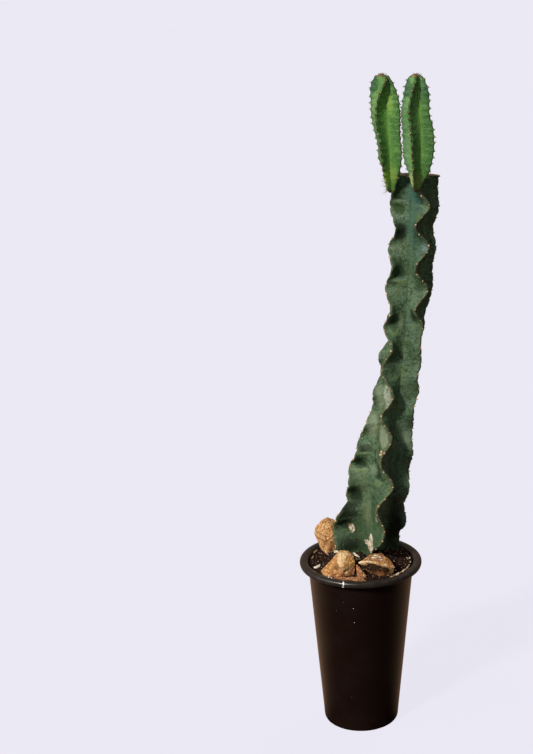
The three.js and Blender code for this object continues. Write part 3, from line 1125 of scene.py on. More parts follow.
class Trees:
    """Geometry node trees, each built once."""

    @staticmethod
    def _start(name: str, inlets: dict[str, object]) -> tuple[Bench, dict[str, Socket]]:
        """Starts a tree with a Geometry inlet, the inlets given and a Finish inlet."""
        inlets = {"Geometry": "NodeSocketGeometry", **inlets, "Finish": "NodeSocketMaterial"}
        return start_tree("GeometryNodeTree", name, inlets, {"Geometry": "NodeSocketGeometry"})

    @staticmethod
    def _end(bench: Bench, placed: Node, wander: Socket, size: float, smooth: bool, finish: Socket) -> Tree:
        """Makes instances real, moves their corners a little and sets their material.

        Args:
            bench: The bench for the tree.
            placed: The node that gives the instances.
            wander: How far a corner moves, in metres.
            size: Width of the noise that moves it, in metres.
            smooth: Whether the faces are shaded smooth.
            finish: The material.

        Returns:
            The finished tree.
        """
        real = bench.add("GeometryNodeRealizeInstances", {"Geometry": placed})
        cloud = bench.add("ShaderNodeTexNoise", {"Scale": bench.calc("DIVIDE", 1.0, size), "Detail": 1.0})
        centred = bench.vector("SUBTRACT", bench.out(cloud, "Color"), (0.5, 0.5, 0.5))
        offset = bench.scale(centred, bench.times(wander, 2.0))
        moved = bench.add("GeometryNodeSetPosition", {"Geometry": real, "Offset": offset})
        shaded = bench.add("GeometryNodeSetShadeSmooth", {"Geometry": moved, "Shade Smooth": smooth})
        return bench.close("Geometry", bench.add("GeometryNodeSetMaterial", {
            "Geometry": shaded, "Material": finish,
        }))

    @staticmethod
    def _value(bench: Bench, name: str, kind: str = "FLOAT") -> Socket:
        """Reads a value that the points hold."""
        return bench.out(bench.add("GeometryNodeInputNamedAttribute", {"Name": name}, data_type=kind))

    @staticmethod
    def _draw(bench: Bench, low: object, high: object, seed: object) -> Socket:
        """Draws a random number or vector for each point.

        Args:
            bench: The bench for the tree.
            low: The lowest.
            high: The highest.
            seed: Which draw.

        Returns:
            The outlet.
        """
        kind = "FLOAT_VECTOR" if isinstance(low, tuple) else "FLOAT"
        feeds = {"Min": low, "Max": high, "Seed": seed}
        return bench.out(bench.add("FunctionNodeRandomValue", feeds, data_type=kind))

    @staticmethod
    def _instances(bench: Bench, points: Socket, shape: Socket, turn: object, size: Node) -> Node:
        """Places a shape on each point.

        Args:
            bench: The bench for the tree.
            points: The points.
            shape: The shape's mesh.
            turn: Its turn.
            size: The node that gives its size along X, Y and Z.

        Returns:
            The node that gives the instances.
        """
        feeds = {"Points": points, "Instance": shape, "Rotation": turn, "Scale": size}
        return bench.add("GeometryNodeInstanceOnPoints", feeds)

    @cached_property
    def cushions(self) -> Tree:
        """A felt cushion on each point, facing outward.

        Returns:
            The tree.
        """
        inlets = {"Radius": 0.002, "Height": 0.001, "Wool": 0.0004, "Seed": 0}
        bench, inlet = self._start("felt_cushions", inlets)
        ball = bench.add("GeometryNodeMeshUVSphere", {"Segments": 9, "Rings": 6, "Radius": 1.0})
        size = bench.times(self._value(bench, "size"), self._draw(bench, 0.55, 1.25, inlet["Seed"]))
        outward = self._value(bench, "outward", "FLOAT_VECTOR")
        turn = bench.add("FunctionNodeAlignRotationToVector", {"Vector": outward}, axis="Z")
        radius = bench.times(size, inlet["Radius"])
        longer = self._draw(bench, 0.85, 1.35, bench.calc("ADD", inlet["Seed"], 1))
        shape = bench.add("ShaderNodeCombineXYZ", {
            "X": radius, "Y": bench.times(radius, longer), "Z": bench.times(size, inlet["Height"]),
        })
        placed = self._instances(bench, inlet["Geometry"], bench.out(ball, "Mesh"), turn, shape)
        return self._end(bench, placed, inlet["Wool"], 0.0011, True, inlet["Finish"])

    @cached_property
    def spines(self) -> Tree:
        """A spray of slim spines on each point.

        Returns:
            The tree.
        """
        bench, inlet = self._start("spine_sprays", {
            "Spines": 6, "Length": 0.005, "Radius": 0.0003, "Spread": 0.9, "Bend": 0.0003, "Seed": 0,
        })
        feeds = {"Geometry": inlet["Geometry"], "Amount": inlet["Spines"]}
        copies = bench.add("GeometryNodeDuplicateElements", feeds, domain="POINT")
        lean = bench.scale(self._draw(bench, (-1, -1, -1), (1, 1, 1), inlet["Seed"]), inlet["Spread"])
        way = bench.vector("ADD", self._value(bench, "outward", "FLOAT_VECTOR"), lean)
        turn = bench.add("FunctionNodeAlignRotationToVector", {"Vector": way}, axis="Z")
        spine = bench.add("GeometryNodeMeshCone", {
            "Vertices": 4, "Side Segments": 2, "Radius Top": 0.12, "Radius Bottom": 1.0, "Depth": 1.0,
        }, fill_type="NGON")
        draw = self._draw(bench, 0.45, 1.0, bench.calc("ADD", inlet["Seed"], 2))
        size = self._value(bench, "size")
        length = bench.times(bench.times(inlet["Length"], draw), size)
        thick = bench.times(inlet["Radius"], bench.calc("POWER", size, 0.5))
        shape = bench.add("ShaderNodeCombineXYZ", {"X": thick, "Y": thick, "Z": length})
        points = bench.out(copies, "Geometry")
        placed = self._instances(bench, points, bench.out(spine, "Mesh"), turn, shape)
        return self._end(bench, placed, inlet["Bend"], 0.006, True, inlet["Finish"])

    @cached_property
    def crumbs(self) -> Tree:
        """Crumbs strewn over a surface, where its value open allows.

        Returns:
            The tree.
        """
        bench, inlet = self._start("crumbs", {
            "Density": 1000.0, "Smallest": 0.001, "Largest": 0.003, "Width": 0.7, "Depth": 0.5, "Lift": 0.0,
            "Wander": 0.0004, "Seed": 0,
        })
        seeds = [bench.calc("ADD", inlet["Seed"], number) for number in range(1, 6)]
        strewn = bench.add("GeometryNodeDistributePointsOnFaces", {
            "Mesh": inlet["Geometry"], "Seed": inlet["Seed"],
            "Density": bench.times(inlet["Density"], self._value(bench, "open")),
        }, distribute_method="RANDOM")
        lump = bench.add("GeometryNodeMeshIcoSphere", {"Radius": 0.5, "Subdivisions": 2})
        draw = bench.calc("POWER", self._draw(bench, 0.0, 1.0, seeds[0]), 2.2)
        spare = bench.calc("SUBTRACT", inlet["Largest"], inlet["Smallest"])
        size = bench.calc("MULTIPLY_ADD", draw, spare, inlet["Smallest"])
        width = bench.times(inlet["Width"], self._draw(bench, 0.7, 1.3, seeds[1]))
        depth = bench.times(inlet["Depth"], self._draw(bench, 0.7, 1.3, seeds[2]))
        shape = bench.add("ShaderNodeCombineXYZ", {
            "X": size, "Y": bench.times(size, width), "Z": bench.times(size, depth),
        })
        turn = self._draw(bench, (-0.6, -0.6, 0.0), (0.6, 0.6, 6.28), seeds[3])
        placed = self._instances(bench, bench.out(strewn, "Points"), bench.out(lump, "Mesh"), turn, shape)
        lifted = bench.add("GeometryNodeTranslateInstances", {
            "Instances": placed, "Local Space": False,
            "Translation": bench.add("ShaderNodeCombineXYZ", {"Z": bench.times(size, inlet["Lift"])}),
        })
        toned = bench.add("GeometryNodeStoreNamedAttribute", {
            "Geometry": lifted, "Name": "tone", "Value": self._draw(bench, 0.0, 1.0, seeds[4]),
        }, data_type="FLOAT", domain="INSTANCE")
        return self._end(bench, toned, inlet["Wander"], 0.0025, False, inlet["Finish"])


def settle(piece: Piece) -> Piece:
    """Keeps what a piece's modifiers make as its plain mesh.

    Args:
        piece: The piece.

    Returns:
        The piece, with no modifier left.
    """
    graph = bpy.context.evaluated_depsgraph_get()
    made = bpy.data.meshes.new_from_object(piece.evaluated_get(graph))
    piece.modifiers.clear()
    before = piece.data
    piece.data = made
    made.name = piece.name
    bpy.data.meshes.remove(before)
    return piece


def grow(piece: Piece, tree: Tree, **inputs: object) -> Piece:
    """Runs a tree on a piece and keeps the result as its plain mesh.

    Args:
        piece: The piece whose mesh the tree starts from.
        tree: The tree.
        **inputs: Values of the tree's inlets.

    Returns:
        The piece, with no modifier left.
    """
    modifier = piece.modifiers.new(tree.name, "NODES")
    modifier.node_group = tree
    for item in tree.interface.items_tree:
        if item.in_out == "INPUT" and item.name in inputs:
            modifier[item.identifier] = inputs[item.name]
    return settle(piece)


def areole_points(name: str, areoles: list[Areole]) -> Piece:
    """Makes loose points that hold the way they face and their size.

    Args:
        name: The piece's name.
        areoles: Where the points are.

    Returns:
        The piece.
    """
    mesh = bpy.data.meshes.new(name)
    mesh.from_pydata([tuple(areole.place * MM) for areole in areoles], [], [])
    outward = mesh.attributes.new("outward", "FLOAT_VECTOR", "POINT")
    outward.data.foreach_set("vector", np.concatenate([areole.outward for areole in areoles]))
    hold(mesh, "size", [areole.size for areole in areoles])
    return put(name, mesh)


@dataclass
class Armour:
    """Felt cushions and spines of one stem."""

    stem: RibbedStem
    felt_radius: float
    felt_height: float
    wool: float  # how far a cushion's surface wanders
    spines: int  # on an areole
    length: float  # longest spine
    radius: float  # of a spine's foot
    seed: int
    spread: float = 0.85  # how far the spines lean from the way the areole faces
    bend: float = 0.25

    def build(self, trees: Trees, felt: Material, horn: Material) -> None:
        """Makes both pieces and hands them over.

        Args:
            trees: The shared trees.
            felt: Material of the cushions.
            horn: Material of the spines.
        """
        areoles = self.stem.areoles()
        pads = grow(
            areole_points(f"{self.stem.name}_areoles", areoles), trees.cushions,
            Radius=self.felt_radius * MM, Height=self.felt_height * MM, Wool=self.wool * MM,
            Seed=self.seed, Finish=felt,
        )
        hand_over(pads, self.stem.slot)
        spray = grow(
            areole_points(f"{self.stem.name}_spines", areoles), trees.spines, Spines=self.spines,
            Length=self.length * MM, Radius=self.radius * MM, Spread=self.spread, Bend=self.bend * MM,
            Seed=self.seed + 40, Finish=horn,
        )
        hand_over(spray, self.stem.slot)


# Pot


@dataclass
class Pot:
    """Round nursery pot with a rolled rim and drain holes.

    Its section is given as radius and height: down the wall outside to the middle of the base, read
    from there upwards, then over the rim, and down inside to the middle of the floor.
    """

    wall_outside: Stations = (
        (0, 0), (40, 0), (74, 0), (77.8, 0), (79.4, 0.6), (80.2, 2.4), (80.6, 5), (82.7, 30),
        (92.9, 145), (105.1, 285), (110.6, 345), (111, 350),
    )
    rim: Stations = (
        (111.2, 356), (112, 361.5), (115.5, 366.6), (120.5, 368.2), (125.6, 366.6), (127.8, 363.4),
        (127, 358.6), (128.4, 357.8), (129.8, 363.6), (128, 367.8), (124.6, 369.6), (120.5, 370.2),
        (116.2, 369.5), (113, 367.4), (110.8, 363.6), (109.4, 356),
    )
    wall_inside: Stations = (
        (109, 350), (103.1, 285), (91, 145), (79.2, 9), (78.4, 4.6), (76.5, 3), (60, 3), (36, 3), (0, 3),
    )
    rim_foot: float = 352.0
    segments: int = 180
    holes: int = 6
    hole_radius: float = 5.0
    hole_circle: float = 48.0  # distance of the holes from the middle

    @staticmethod
    def soften(section: list[tuple[float, float]], rounds: int) -> list[tuple[float, float]]:
        """Rounds the corners of a line, with its ends kept.

        Args:
            section: The line's points.
            rounds: How many times its corners are cut.

        Returns:
            The smoother line.
        """
        for _ in range(rounds):
            cut = [section[0]]
            for (r0, z0), (r1, z1) in zip(section, section[1:]):
                cut.append((0.75 * r0 + 0.25 * r1, 0.75 * z0 + 0.25 * z1))
                cut.append((0.25 * r0 + 0.75 * r1, 0.25 * z0 + 0.75 * z1))
            section = [*cut, section[-1]]
        return section

    def shell(self, material: Material) -> Piece:
        """Makes the pot's closed wall, still without holes.

        Args:
            material: Its material.

        Returns:
            The piece.
        """
        section = [*self.wall_outside, *self.soften(list(self.rim), 2), *self.wall_inside]
        way = circle(self.segments)
        rings = [np.column_stack([r * way, np.full(self.segments, float(z))]) for r, z in section[1:-1]]
        points, faces = closed_body(rings, (0, 0, section[0][1]), (0, 0, section[-1][1]))
        rim = np.clip((points[:, 2] - self.rim_foot) / 6, 0, 1)
        return new_piece("pot_shell", points, faces, material, {"rim": rim})

    def drill(self) -> Piece:
        """Makes the bars that cut the drain holes.

        Returns:
            The bars, as one piece.
        """
        shape = bmesh.new()
        radius = self.hole_radius * MM
        for x, y in circle(self.holes) * self.hole_circle:
            made = bmesh.ops.create_cone(
                shape, cap_ends=True, segments=32, radius1=radius, radius2=radius, depth=20 * MM
            )
            bmesh.ops.translate(shape, verts=made["verts"], vec=Vector((x, y, 1.5)) * MM)
        mesh = bpy.data.meshes.new("drill")
        shape.to_mesh(mesh)
        shape.free()
        return put("drill", mesh)

    def build(self, material: Material) -> None:
        """Makes the pot and hands it over.

        Args:
            material: Its material.
        """
        shell, bars = self.shell(material), self.drill()
        cut = shell.modifiers.new("drain_holes", "BOOLEAN")
        cut.object = bars
        cut.operation = "DIFFERENCE"
        cut.solver = "EXACT"
        settle(shell)
        bpy.data.meshes.remove(bars.data)
        hand_over(shell, Slot.POT, "pot")


# Soil


@dataclass(frozen=True)
class Litter:
    """One kind of loose bits on the soil, with its shares given of a bit's length."""

    name: str
    finish: GritFinish
    density: float  # bits on a square metre
    smallest: float
    largest: float
    width: float  # share
    depth: float  # share
    lift: float  # share that a bit's middle rises
    wander: float  # how far its surface wanders
    seed: int


@dataclass
class Soil:
    """Potting mix that fills the pot, heaped round the stem."""

    edge_height: float = 359.0  # at the pot's wall
    heap_height: float = 26.0
    heap_spread: float = 46.0
    heap_centre: tuple[float, float] = (14.0, 19.0)
    radius: float = 108.6  # of the surface
    open_radius: float = 103.0  # where loose bits may lie
    open_height: float = 340.0  # above which they may lie
    floor: float = 3.35
    side: Stations = (  # radius and height of the hidden wall, downwards
        (108.7, 354), (108.6, 350), (102.7, 285), (90.6, 145), (78.8, 9.2), (76.2, 3.35), (40, 3.35),
    )
    ring_step: float = 1.55  # distance between rings of corners
    segments: int = 300

    def height(self, x: np.ndarray, y: np.ndarray) -> np.ndarray:
        """Height of the smooth surface.

        Args:
            x: Places along X.
            y: Places along Y.

        Returns:
            Heights.
        """
        cx, cy = self.heap_centre
        away = ((x - cx) ** 2 + (y - cy) ** 2) / (2 * self.heap_spread**2)
        ripple = 1.2 * np.sin(x / 9 + 1.3) * np.cos(y / 11 - 0.4)
        verge = 2.6 * np.clip((np.hypot(x, y) - 92) / 14, 0, 1)
        return self.edge_height + self.heap_height * np.exp(-away) + ripple + verge

    @staticmethod
    def lump(x: float, y: float) -> float:
        """Height of the crumbs at a place, above the smooth surface.

        Args:
            x: Place along X.
            y: Place along Y.

        Returns:
            The rise.
        """
        coarse = noise.noise(Vector((x / 13, y / 13, 1.7)))
        medium = noise.noise(Vector((x / 5.5, y / 5.5, 6.1)))
        fine = noise.noise(Vector((x / 2.6, y / 2.6, 9.4)))
        return 1.9 * coarse + 1.7 * medium + 1.0 * fine

    def bed(self, material: Material) -> Piece:
        """Makes the closed body of soil with a lumpy top.

        Args:
            material: Its material.

        Returns:
            The piece.
        """
        way = circle(self.segments)
        rings = [
            np.column_stack([r * way, np.full(self.segments, float(z))]) for r, z in reversed(self.side)
        ]
        for r in np.arange(self.radius, self.ring_step / 2, -self.ring_step):
            flat = r * way
            calm = min(1.0, (self.radius - r) / 6)
            lumps = np.array([self.lump(x, y) * calm for x, y in flat])
            rings.append(np.column_stack([flat, self.height(flat[:, 0], flat[:, 1]) + lumps]))
        middle = self.height(np.zeros(1), np.zeros(1))[0]
        points, faces = closed_body(rings, (0, 0, self.floor), (0, 0, middle))
        away = np.hypot(points[:, 0], points[:, 1])
        surface = (points[:, 2] > self.open_height) & (away < self.open_radius)
        return new_piece("soil_bed", points, faces, material, {"open": surface.astype(float)})

    def build(self, effects: Effects, trees: Trees, finish: BedFinish, litter: tuple[Litter, ...]) -> None:
        """Makes the bed and the loose bits and hands them over.

        Args:
            effects: The shared node groups.
            trees: The shared trees.
            finish: Finish of the bed.
            litter: The kinds of bits.
        """
        bed = self.bed(finish.material(effects))
        for kind in litter:
            bits = grow(
                put(kind.name, bed.data.copy()), trees.crumbs, Density=kind.density,
                Smallest=kind.smallest * MM, Largest=kind.largest * MM, Width=kind.width, Depth=kind.depth,
                Lift=kind.lift, Wander=kind.wander * MM, Seed=kind.seed,
                Finish=kind.finish.material(effects),
            )
            hand_over(bits, Slot.SOIL)
        hand_over(bed, Slot.SOIL, "soil")


@dataclass(frozen=True)
class Chip:
    """One chip of wood, bark or grit at a given place."""

    place: Point  # its middle
    length: float
    width: float
    thick: float
    heading: float  # turn of its length from +X, in degrees
    tilt: float  # rise of its far end, in degrees
    tone: float  # its colour, 0 for the darkest and 1 for the palest

    def solid(self) -> tuple[np.ndarray, list[Face]]:
        """Makes a worn splinter with blunt ends.

        Returns:
            Its corners and faces.
        """
        ball = bmesh.new()
        bmesh.ops.create_icosphere(ball, subdivisions=3, radius=1.0)
        unit = np.array([tuple(vertex.co) for vertex in ball.verts])
        faces = [tuple(vertex.index for vertex in face.verts) for face in ball.faces]
        ball.free()
        boxy = np.sign(unit) * np.abs(unit) ** 0.6
        points = boxy * np.array([self.length, self.width, self.thick]) / 2
        for i, place in enumerate(unit):
            points[i] *= 1 + 0.42 * noise.noise(Vector(place * 1.7) + Vector(self.place) * 0.31)
        tilt, turn = math.radians(self.tilt), math.radians(self.heading)
        along, y, up = points.T
        x = along * math.cos(tilt) - up * math.sin(tilt)
        z = along * math.sin(tilt) + up * math.cos(tilt)
        turned = [x * math.cos(turn) - y * math.sin(turn), x * math.sin(turn) + y * math.cos(turn), z]
        return np.stack(turned, axis=1) + np.array(self.place), faces


def build_chips(name: str, chips: tuple[Chip, ...], material: Material) -> None:
    """Makes one piece of several chips and hands it over.

    Args:
        name: The piece's name.
        chips: The chips.
        material: Their material.
    """
    points: list[np.ndarray] = []
    faces: list[Face] = []
    tones: list[float] = []
    for chip in chips:
        corners, sides = chip.solid()
        faces += [tuple(len(tones) + corner for corner in side) for side in sides]
        points.append(corners)
        tones += [chip.tone] * len(corners)
    piece = new_piece(name, np.vstack(points), faces, material, {"tone": np.array(tones)}, smooth=False)
    hand_over(piece, Slot.SOIL)


# Stones


@dataclass(frozen=True)
class Crease:
    """A groove along a line on a stone, or a ridge where its depth is below 0."""

    start: Point
    end: Point
    depth: float
    width: float
    dirt: float = 1.0  # how much its dirt shows, or a ridge's pale edge of wear and painted highlight


@dataclass
class Stone:
    """One rough stone."""

    node: str
    corners: tuple[Point, ...]  # of its rough shape
    finish: StoneFinish
    creases: tuple[Crease, ...] = ()
    facet: float = 1.35  # distance between its mesh corners
    rounding: int = 3  # how often its edges are smoothed
    lump_size: float = 16.0
    lump_height: float = 1.3
    pit_size: float = 4.5
    pit_height: float = 0.5

    def rough(self, material: Material) -> Piece:
        """Makes the rough shape with softened edges.

        Args:
            material: Its material.

        Returns:
            The piece.
        """
        shape = bmesh.new()
        for corner in self.corners:
            shape.verts.new(Vector(corner) * MM)
        made = bmesh.ops.convex_hull(shape, input=shape.verts)
        inside = [item for item in made["geom_interior"] if isinstance(item, bmesh.types.BMVert)]
        bmesh.ops.delete(shape, geom=inside, context="VERTS")
        bmesh.ops.recalc_face_normals(shape, faces=shape.faces)
        mesh = bpy.data.meshes.new(self.node)
        shape.to_mesh(mesh)
        shape.free()
        mesh.materials.append(material)
        piece = put(f"{self.node}_body", mesh)
        net = piece.modifiers.new("net", "REMESH")
        net.mode = "VOXEL"
        net.voxel_size = self.facet * MM
        net.use_smooth_shade = True
        soft = piece.modifiers.new("soft", "SMOOTH")
        soft.factor = 0.5
        soft.iterations = self.rounding
        return settle(piece)

    def carve(self, mesh: bpy.types.Mesh) -> None:
        """Cuts the grooves, raises the ridges and stores where they show.

        Args:
            mesh: The stone's mesh.
        """
        # worn holds the ridges' pale edge, partly wear and partly painted highlight
        dirt, worn = np.zeros(len(mesh.vertices)), np.zeros(len(mesh.vertices))
        normals = [corner.vector.copy() for corner in mesh.vertex_normals]
        for crease in self.creases:
            start, end = Vector(crease.start), Vector(crease.end)
            along = end - start
            shown = dirt if crease.depth > 0 else worn
            for vertex, normal in zip(mesh.vertices, normals):
                place = vertex.co / MM
                share = max(0.0, min(1.0, (place - start).dot(along) / along.length_squared))
                wobble = 1.5 * noise.noise(place / 6)
                away = (place - (start + along * share)).length + wobble
                level = math.exp(-((away / crease.width) ** 2))
                vertex.co -= normal * (crease.depth * level * MM)
                shown[vertex.index] = max(shown[vertex.index], level**2 * crease.dirt)
        hold(mesh, "crease", dirt)
        hold(mesh, "ridge", worn)
        mesh.update()

    def build(self, material: Material) -> None:
        """Makes the stone and hands it over.

        Args:
            material: Its material.
        """
        piece = self.rough(material)
        seed = float(sum(self.corners[0])) / 50
        roughen(piece.data, self.lump_size, self.lump_height, seed)
        roughen(piece.data, self.pit_size, self.pit_height, seed + 3)
        self.carve(piece.data)
        hand_over(piece, Slot.STONE, self.node)


# Studio


@dataclass(frozen=True)
class Lamp:
    """One far light, which is even over the whole plant and the floor."""

    name: str
    azimuth: float  # where it comes from, in degrees from the front towards +X
    elevation: float  # over the floor, in degrees
    spread: float  # its width in the sky, in degrees
    power: float
    colour: Colour
    shiny: bool = True  # whether smooth surfaces mirror it

    def build(self) -> None:
        """Hangs the light."""
        light = bpy.data.lights.new(self.name, "SUN")
        light.angle = math.radians(self.spread)
        light.energy = self.power
        light.color = self.colour[:3]
        lamp = put(self.name, light)
        turn, rise = math.radians(self.azimuth), math.radians(self.elevation)
        way = Vector((math.sin(turn) * math.cos(rise), -math.cos(turn) * math.cos(rise), math.sin(rise)))
        lamp.rotation_euler = way.to_track_quat("Z", "Y").to_euler()
        lamp.visible_glossy = self.shiny


@dataclass
class Studio:
    """Plain pale floor, soft lights and the camera, whose focal length is in pixels of its frame."""

    backdrop: Colour = tint(235, 233, 244)
    lamps: tuple[Lamp, ...] = (
        Lamp("key", -38.0, 36.0, 8.0, 2.9, tint(255, 250, 240)),
        Lamp("side", -75.0, 22.0, 40.0, 0.6, tint(250, 250, 255)),
        Lamp("front", 4.0, 16.0, 50.0, 0.45, tint(250, 250, 255), shiny=False),
        Lamp("back", 150.0, 40.0, 30.0, 0.7, tint(246, 248, 255), shiny=False),
    )
    room: Colour = (0.075, 0.075, 0.08, 1.0)  # weak even light that fills the shadows
    gleam: Colour = (0.4, 0.24, 0.145, 1.0)  # what glossy surfaces reflect from the floor behind
    sky_gleam: Colour = (0.3, 0.22, 0.17, 1.0)  # what they reflect from the room behind
    dull: Colour = (0.13, 0.11, 0.1, 1.0)  # the floor as matt surfaces see it
    shadow: float = 0.06  # how much of the floor's light the plant can shade
    floor_half: float = 120.0  # half the floor's side, in metres
    camera_place: Point = (41.0, -2530.0, 1490.0)
    camera_tilt: float = 16.6  # how far it looks down, in degrees
    focal_length: float = 1291.0
    frame_size: tuple[int, int] = (533, 754)
    look_at: tuple[float, float] = (380.0, 392.6)  # where its axis meets the frame

    def camera(self) -> None:
        """Stands the camera at the photograph's viewing angle."""
        width, height = self.frame_size
        lens = bpy.data.cameras.new("camera")
        lens.sensor_width = 36.0
        lens.lens = self.focal_length * lens.sensor_width / height
        lens.shift_x = (width / 2 - self.look_at[0]) / height
        lens.shift_y = (self.look_at[1] - height / 2) / height
        lens.clip_start = 0.05
        lens.clip_end = 400.0
        camera = put("camera", lens)
        camera.location = Vector(self.camera_place) * MM
        camera.rotation_euler = (math.radians(90 - self.camera_tilt), 0.0, 0.0)
        bpy.context.scene.camera = camera

    @staticmethod
    def behind(bench: Bench, way: Socket) -> Socket:
        """Finds how much a mirrored direction points behind the plant, more so on the left.

        Args:
            bench: The bench of the material.
            way: The direction.

        Returns:
            The share's outlet.
        """
        parts = bench.add("ShaderNodeSeparateXYZ", {"Vector": way})
        depth = bench.ramp(bench.out(parts, "Y"), -0.6, 0.7, 0.01, 1.0)
        return bench.times(depth, bench.ramp(bench.out(parts, "X"), -0.8, 0.8, 1.0, 0.65))

    @staticmethod
    def by_ray(bench: Bench, camera: Node, glossy: Node, other: Node) -> Node:
        """Chooses what is seen by the kind of ray.

        Args:
            bench: The bench of the material.
            camera: What the camera sees.
            glossy: What smooth surfaces mirror.
            other: What lights the rest.

        Returns:
            The node that gives the choice.
        """
        ray = bench.add("ShaderNodeLightPath")
        soft = bench.mix(bench.out(ray, "Is Glossy Ray"), other, glossy)
        return bench.mix(bench.out(ray, "Is Camera Ray"), soft, camera)

    def world(self) -> None:
        """Fills the room with a weak even light, and shows the backdrop's colour behind it."""
        world = bpy.data.worlds.new("room")
        bench = Bench.cleared(world)
        way = bench.out(bench.add("ShaderNodeTexCoord"), "Generated")
        seen = bench.add("ShaderNodeBackground", {"Color": self.backdrop, "Strength": 1.0})
        level = self.behind(bench, way)
        shine = bench.add("ShaderNodeBackground", {"Color": self.sky_gleam, "Strength": level})
        glow = bench.add("ShaderNodeBackground", {"Color": self.room, "Strength": 1.0})
        bench.add("ShaderNodeOutputWorld", {"Surface": self.by_ray(bench, seen, shine, glow)})
        bpy.context.scene.world = world

    def floor_light(self) -> float:
        """Light that reaches the open floor, as the brightness of a white sheet."""
        suns = sum(lamp.power * math.sin(math.radians(lamp.elevation)) / math.pi for lamp in self.lamps)
        return suns + self.room[0]

    def floor(self) -> None:
        """Lays the pale floor, which shows a weak shadow and is as bright as the backdrop."""
        material = bpy.data.materials.new("floor")
        bench = Bench.cleared(material)
        share = self.shadow / self.floor_light()
        sheet_colour = (*(share * level for level in self.backdrop[:3]), 1.0)
        faint = bench.add("ShaderNodeBsdfDiffuse", {"Color": sheet_colour})
        glow = bench.add("ShaderNodeEmission", {"Color": self.backdrop, "Strength": 1.0 - self.shadow})
        seen = bench.add("ShaderNodeAddShader", {0: faint, 1: glow})
        dull = bench.add("ShaderNodeBsdfDiffuse", {"Color": self.dull})
        place = bench.out(bench.add("ShaderNodeTexCoord"), "Object")
        far = bench.ramp(bench.vector("LENGTH", place), 1.4, 2.4, 1.0, 0.2)
        level = bench.times(self.behind(bench, bench.vector("NORMALIZE", place)), far)
        shine = bench.add("ShaderNodeEmission", {"Color": self.gleam, "Strength": level})
        bench.add("ShaderNodeOutputMaterial", {"Surface": self.by_ray(bench, seen, shine, dull)})
        mesh = bpy.data.meshes.new("floor")
        half = self.floor_half
        corners = [(-half, -half, 0), (half, -half, 0), (half, half, 0), (-half, half, 0)]
        mesh.from_pydata(corners, [], [(0, 1, 2, 3)])
        mesh.materials.append(material)
        put("floor", mesh)

    def build(self) -> None:
        """Sets up the whole studio."""
        self.camera()
        self.world()
        self.floor()
        for lamp in self.lamps:
            lamp.build()
        bpy.context.scene.view_settings.view_transform = "Standard"
        bpy.context.scene.view_settings.look = "None"
        LOG.info("studio: floor, %d lamps, camera", len(self.lamps))


# This plant


OLD_RIBS = (
    Rib(
        angle=Track(((330, 0), (1180, 0))),
        reach=Track((
            (330, 28), (385, 38), (400, 50), (412, 66), (430, 74), (490, 68), (540, 66), (627, 56),
            (714, 48), (778, 46), (840, 46), (955, 48), (1026, 47.5), (1062, 41), (1083, 42), (1108, 45),
            (1131, 47), (1150, 45), (1180, 45),
        )),
        swing_heights=(330, 436, 547, 645, 735, 835, 910, 996, 1072, 1150, 1230),
        swing=Track((
            (330, 3), (400, 6), (436, 7), (515, 17), (600, 11), (735, 12), (835, 13), (890, 11), (1072, 13),
            (1130, 11), (1180, 8),
        )),
    ),
    Rib(
        angle=Track(((330, 90), (1040, 90), (1120, 96), (1180, 96))),
        reach=Track((
            (330, 34), (362, 62), (378, 72), (394, 74.5), (413, 70.5), (426, 74), (440, 76.5), (484, 67),
            (557, 64), (592, 62), (640, 53), (700, 46), (734, 47.5), (765, 46), (800, 47), (836, 50),
            (873, 46), (955, 47), (1180, 48),
        )),
        swing_heights=(315, 395, 470, 560, 650, 735, 800, 873, 953, 1040, 1120, 1200),
        swing=Track((
            (330, 3), (400, 9), (560, 12), (700, 9), (740, 6), (800, 4), (836, 2.5), (873, 6), (905, 13),
            (953, 14), (1120, 14), (1180, 10),
        )),
    ),
    Rib(
        angle=Track(((330, 180), (700, 178), (900, 176), (950, 175), (1100, 180), (1180, 180))),
        reach=Track((
            (330, 28), (378, 46), (396, 62), (430, 70), (490, 66), (540, 64), (627, 55), (714, 48),
            (770, 47), (812, 50), (850, 45), (884, 38), (915, 46.5), (946, 46), (1044, 43), (1068, 40),
            (1108, 44.5), (1180, 45.5),
        )),
        swing_heights=(330, 436, 547, 645, 735, 835, 910, 990, 1070, 1150, 1230),
        swing=Track((
            (330, 3), (430, 11), (600, 13), (820, 11), (872, 5), (915, 4), (1000, 5), (1060, 9), (1130, 9),
            (1180, 6),
        )),
    ),
    Rib(
        angle=Track(((330, 270), (1180, 270))),
        reach=Track((
            (330, 28), (380, 50), (392, 66), (412, 73), (430, 75), (452, 79), (467, 81), (479, 72),
            (492, 58), (506, 61), (535, 65), (570, 62), (609, 55), (647, 48), (690, 41), (740, 42),
            (800, 46), (1180, 47),
        )),
        swing_heights=(325, 395, 467, 538, 600, 662, 725, 803, 882, 962, 1045, 1128, 1210),
        swing=Track(((330, 3), (395, 9), (467, 12), (600, 13), (760, 12), (1120, 13), (1180, 10))),
    ),
)
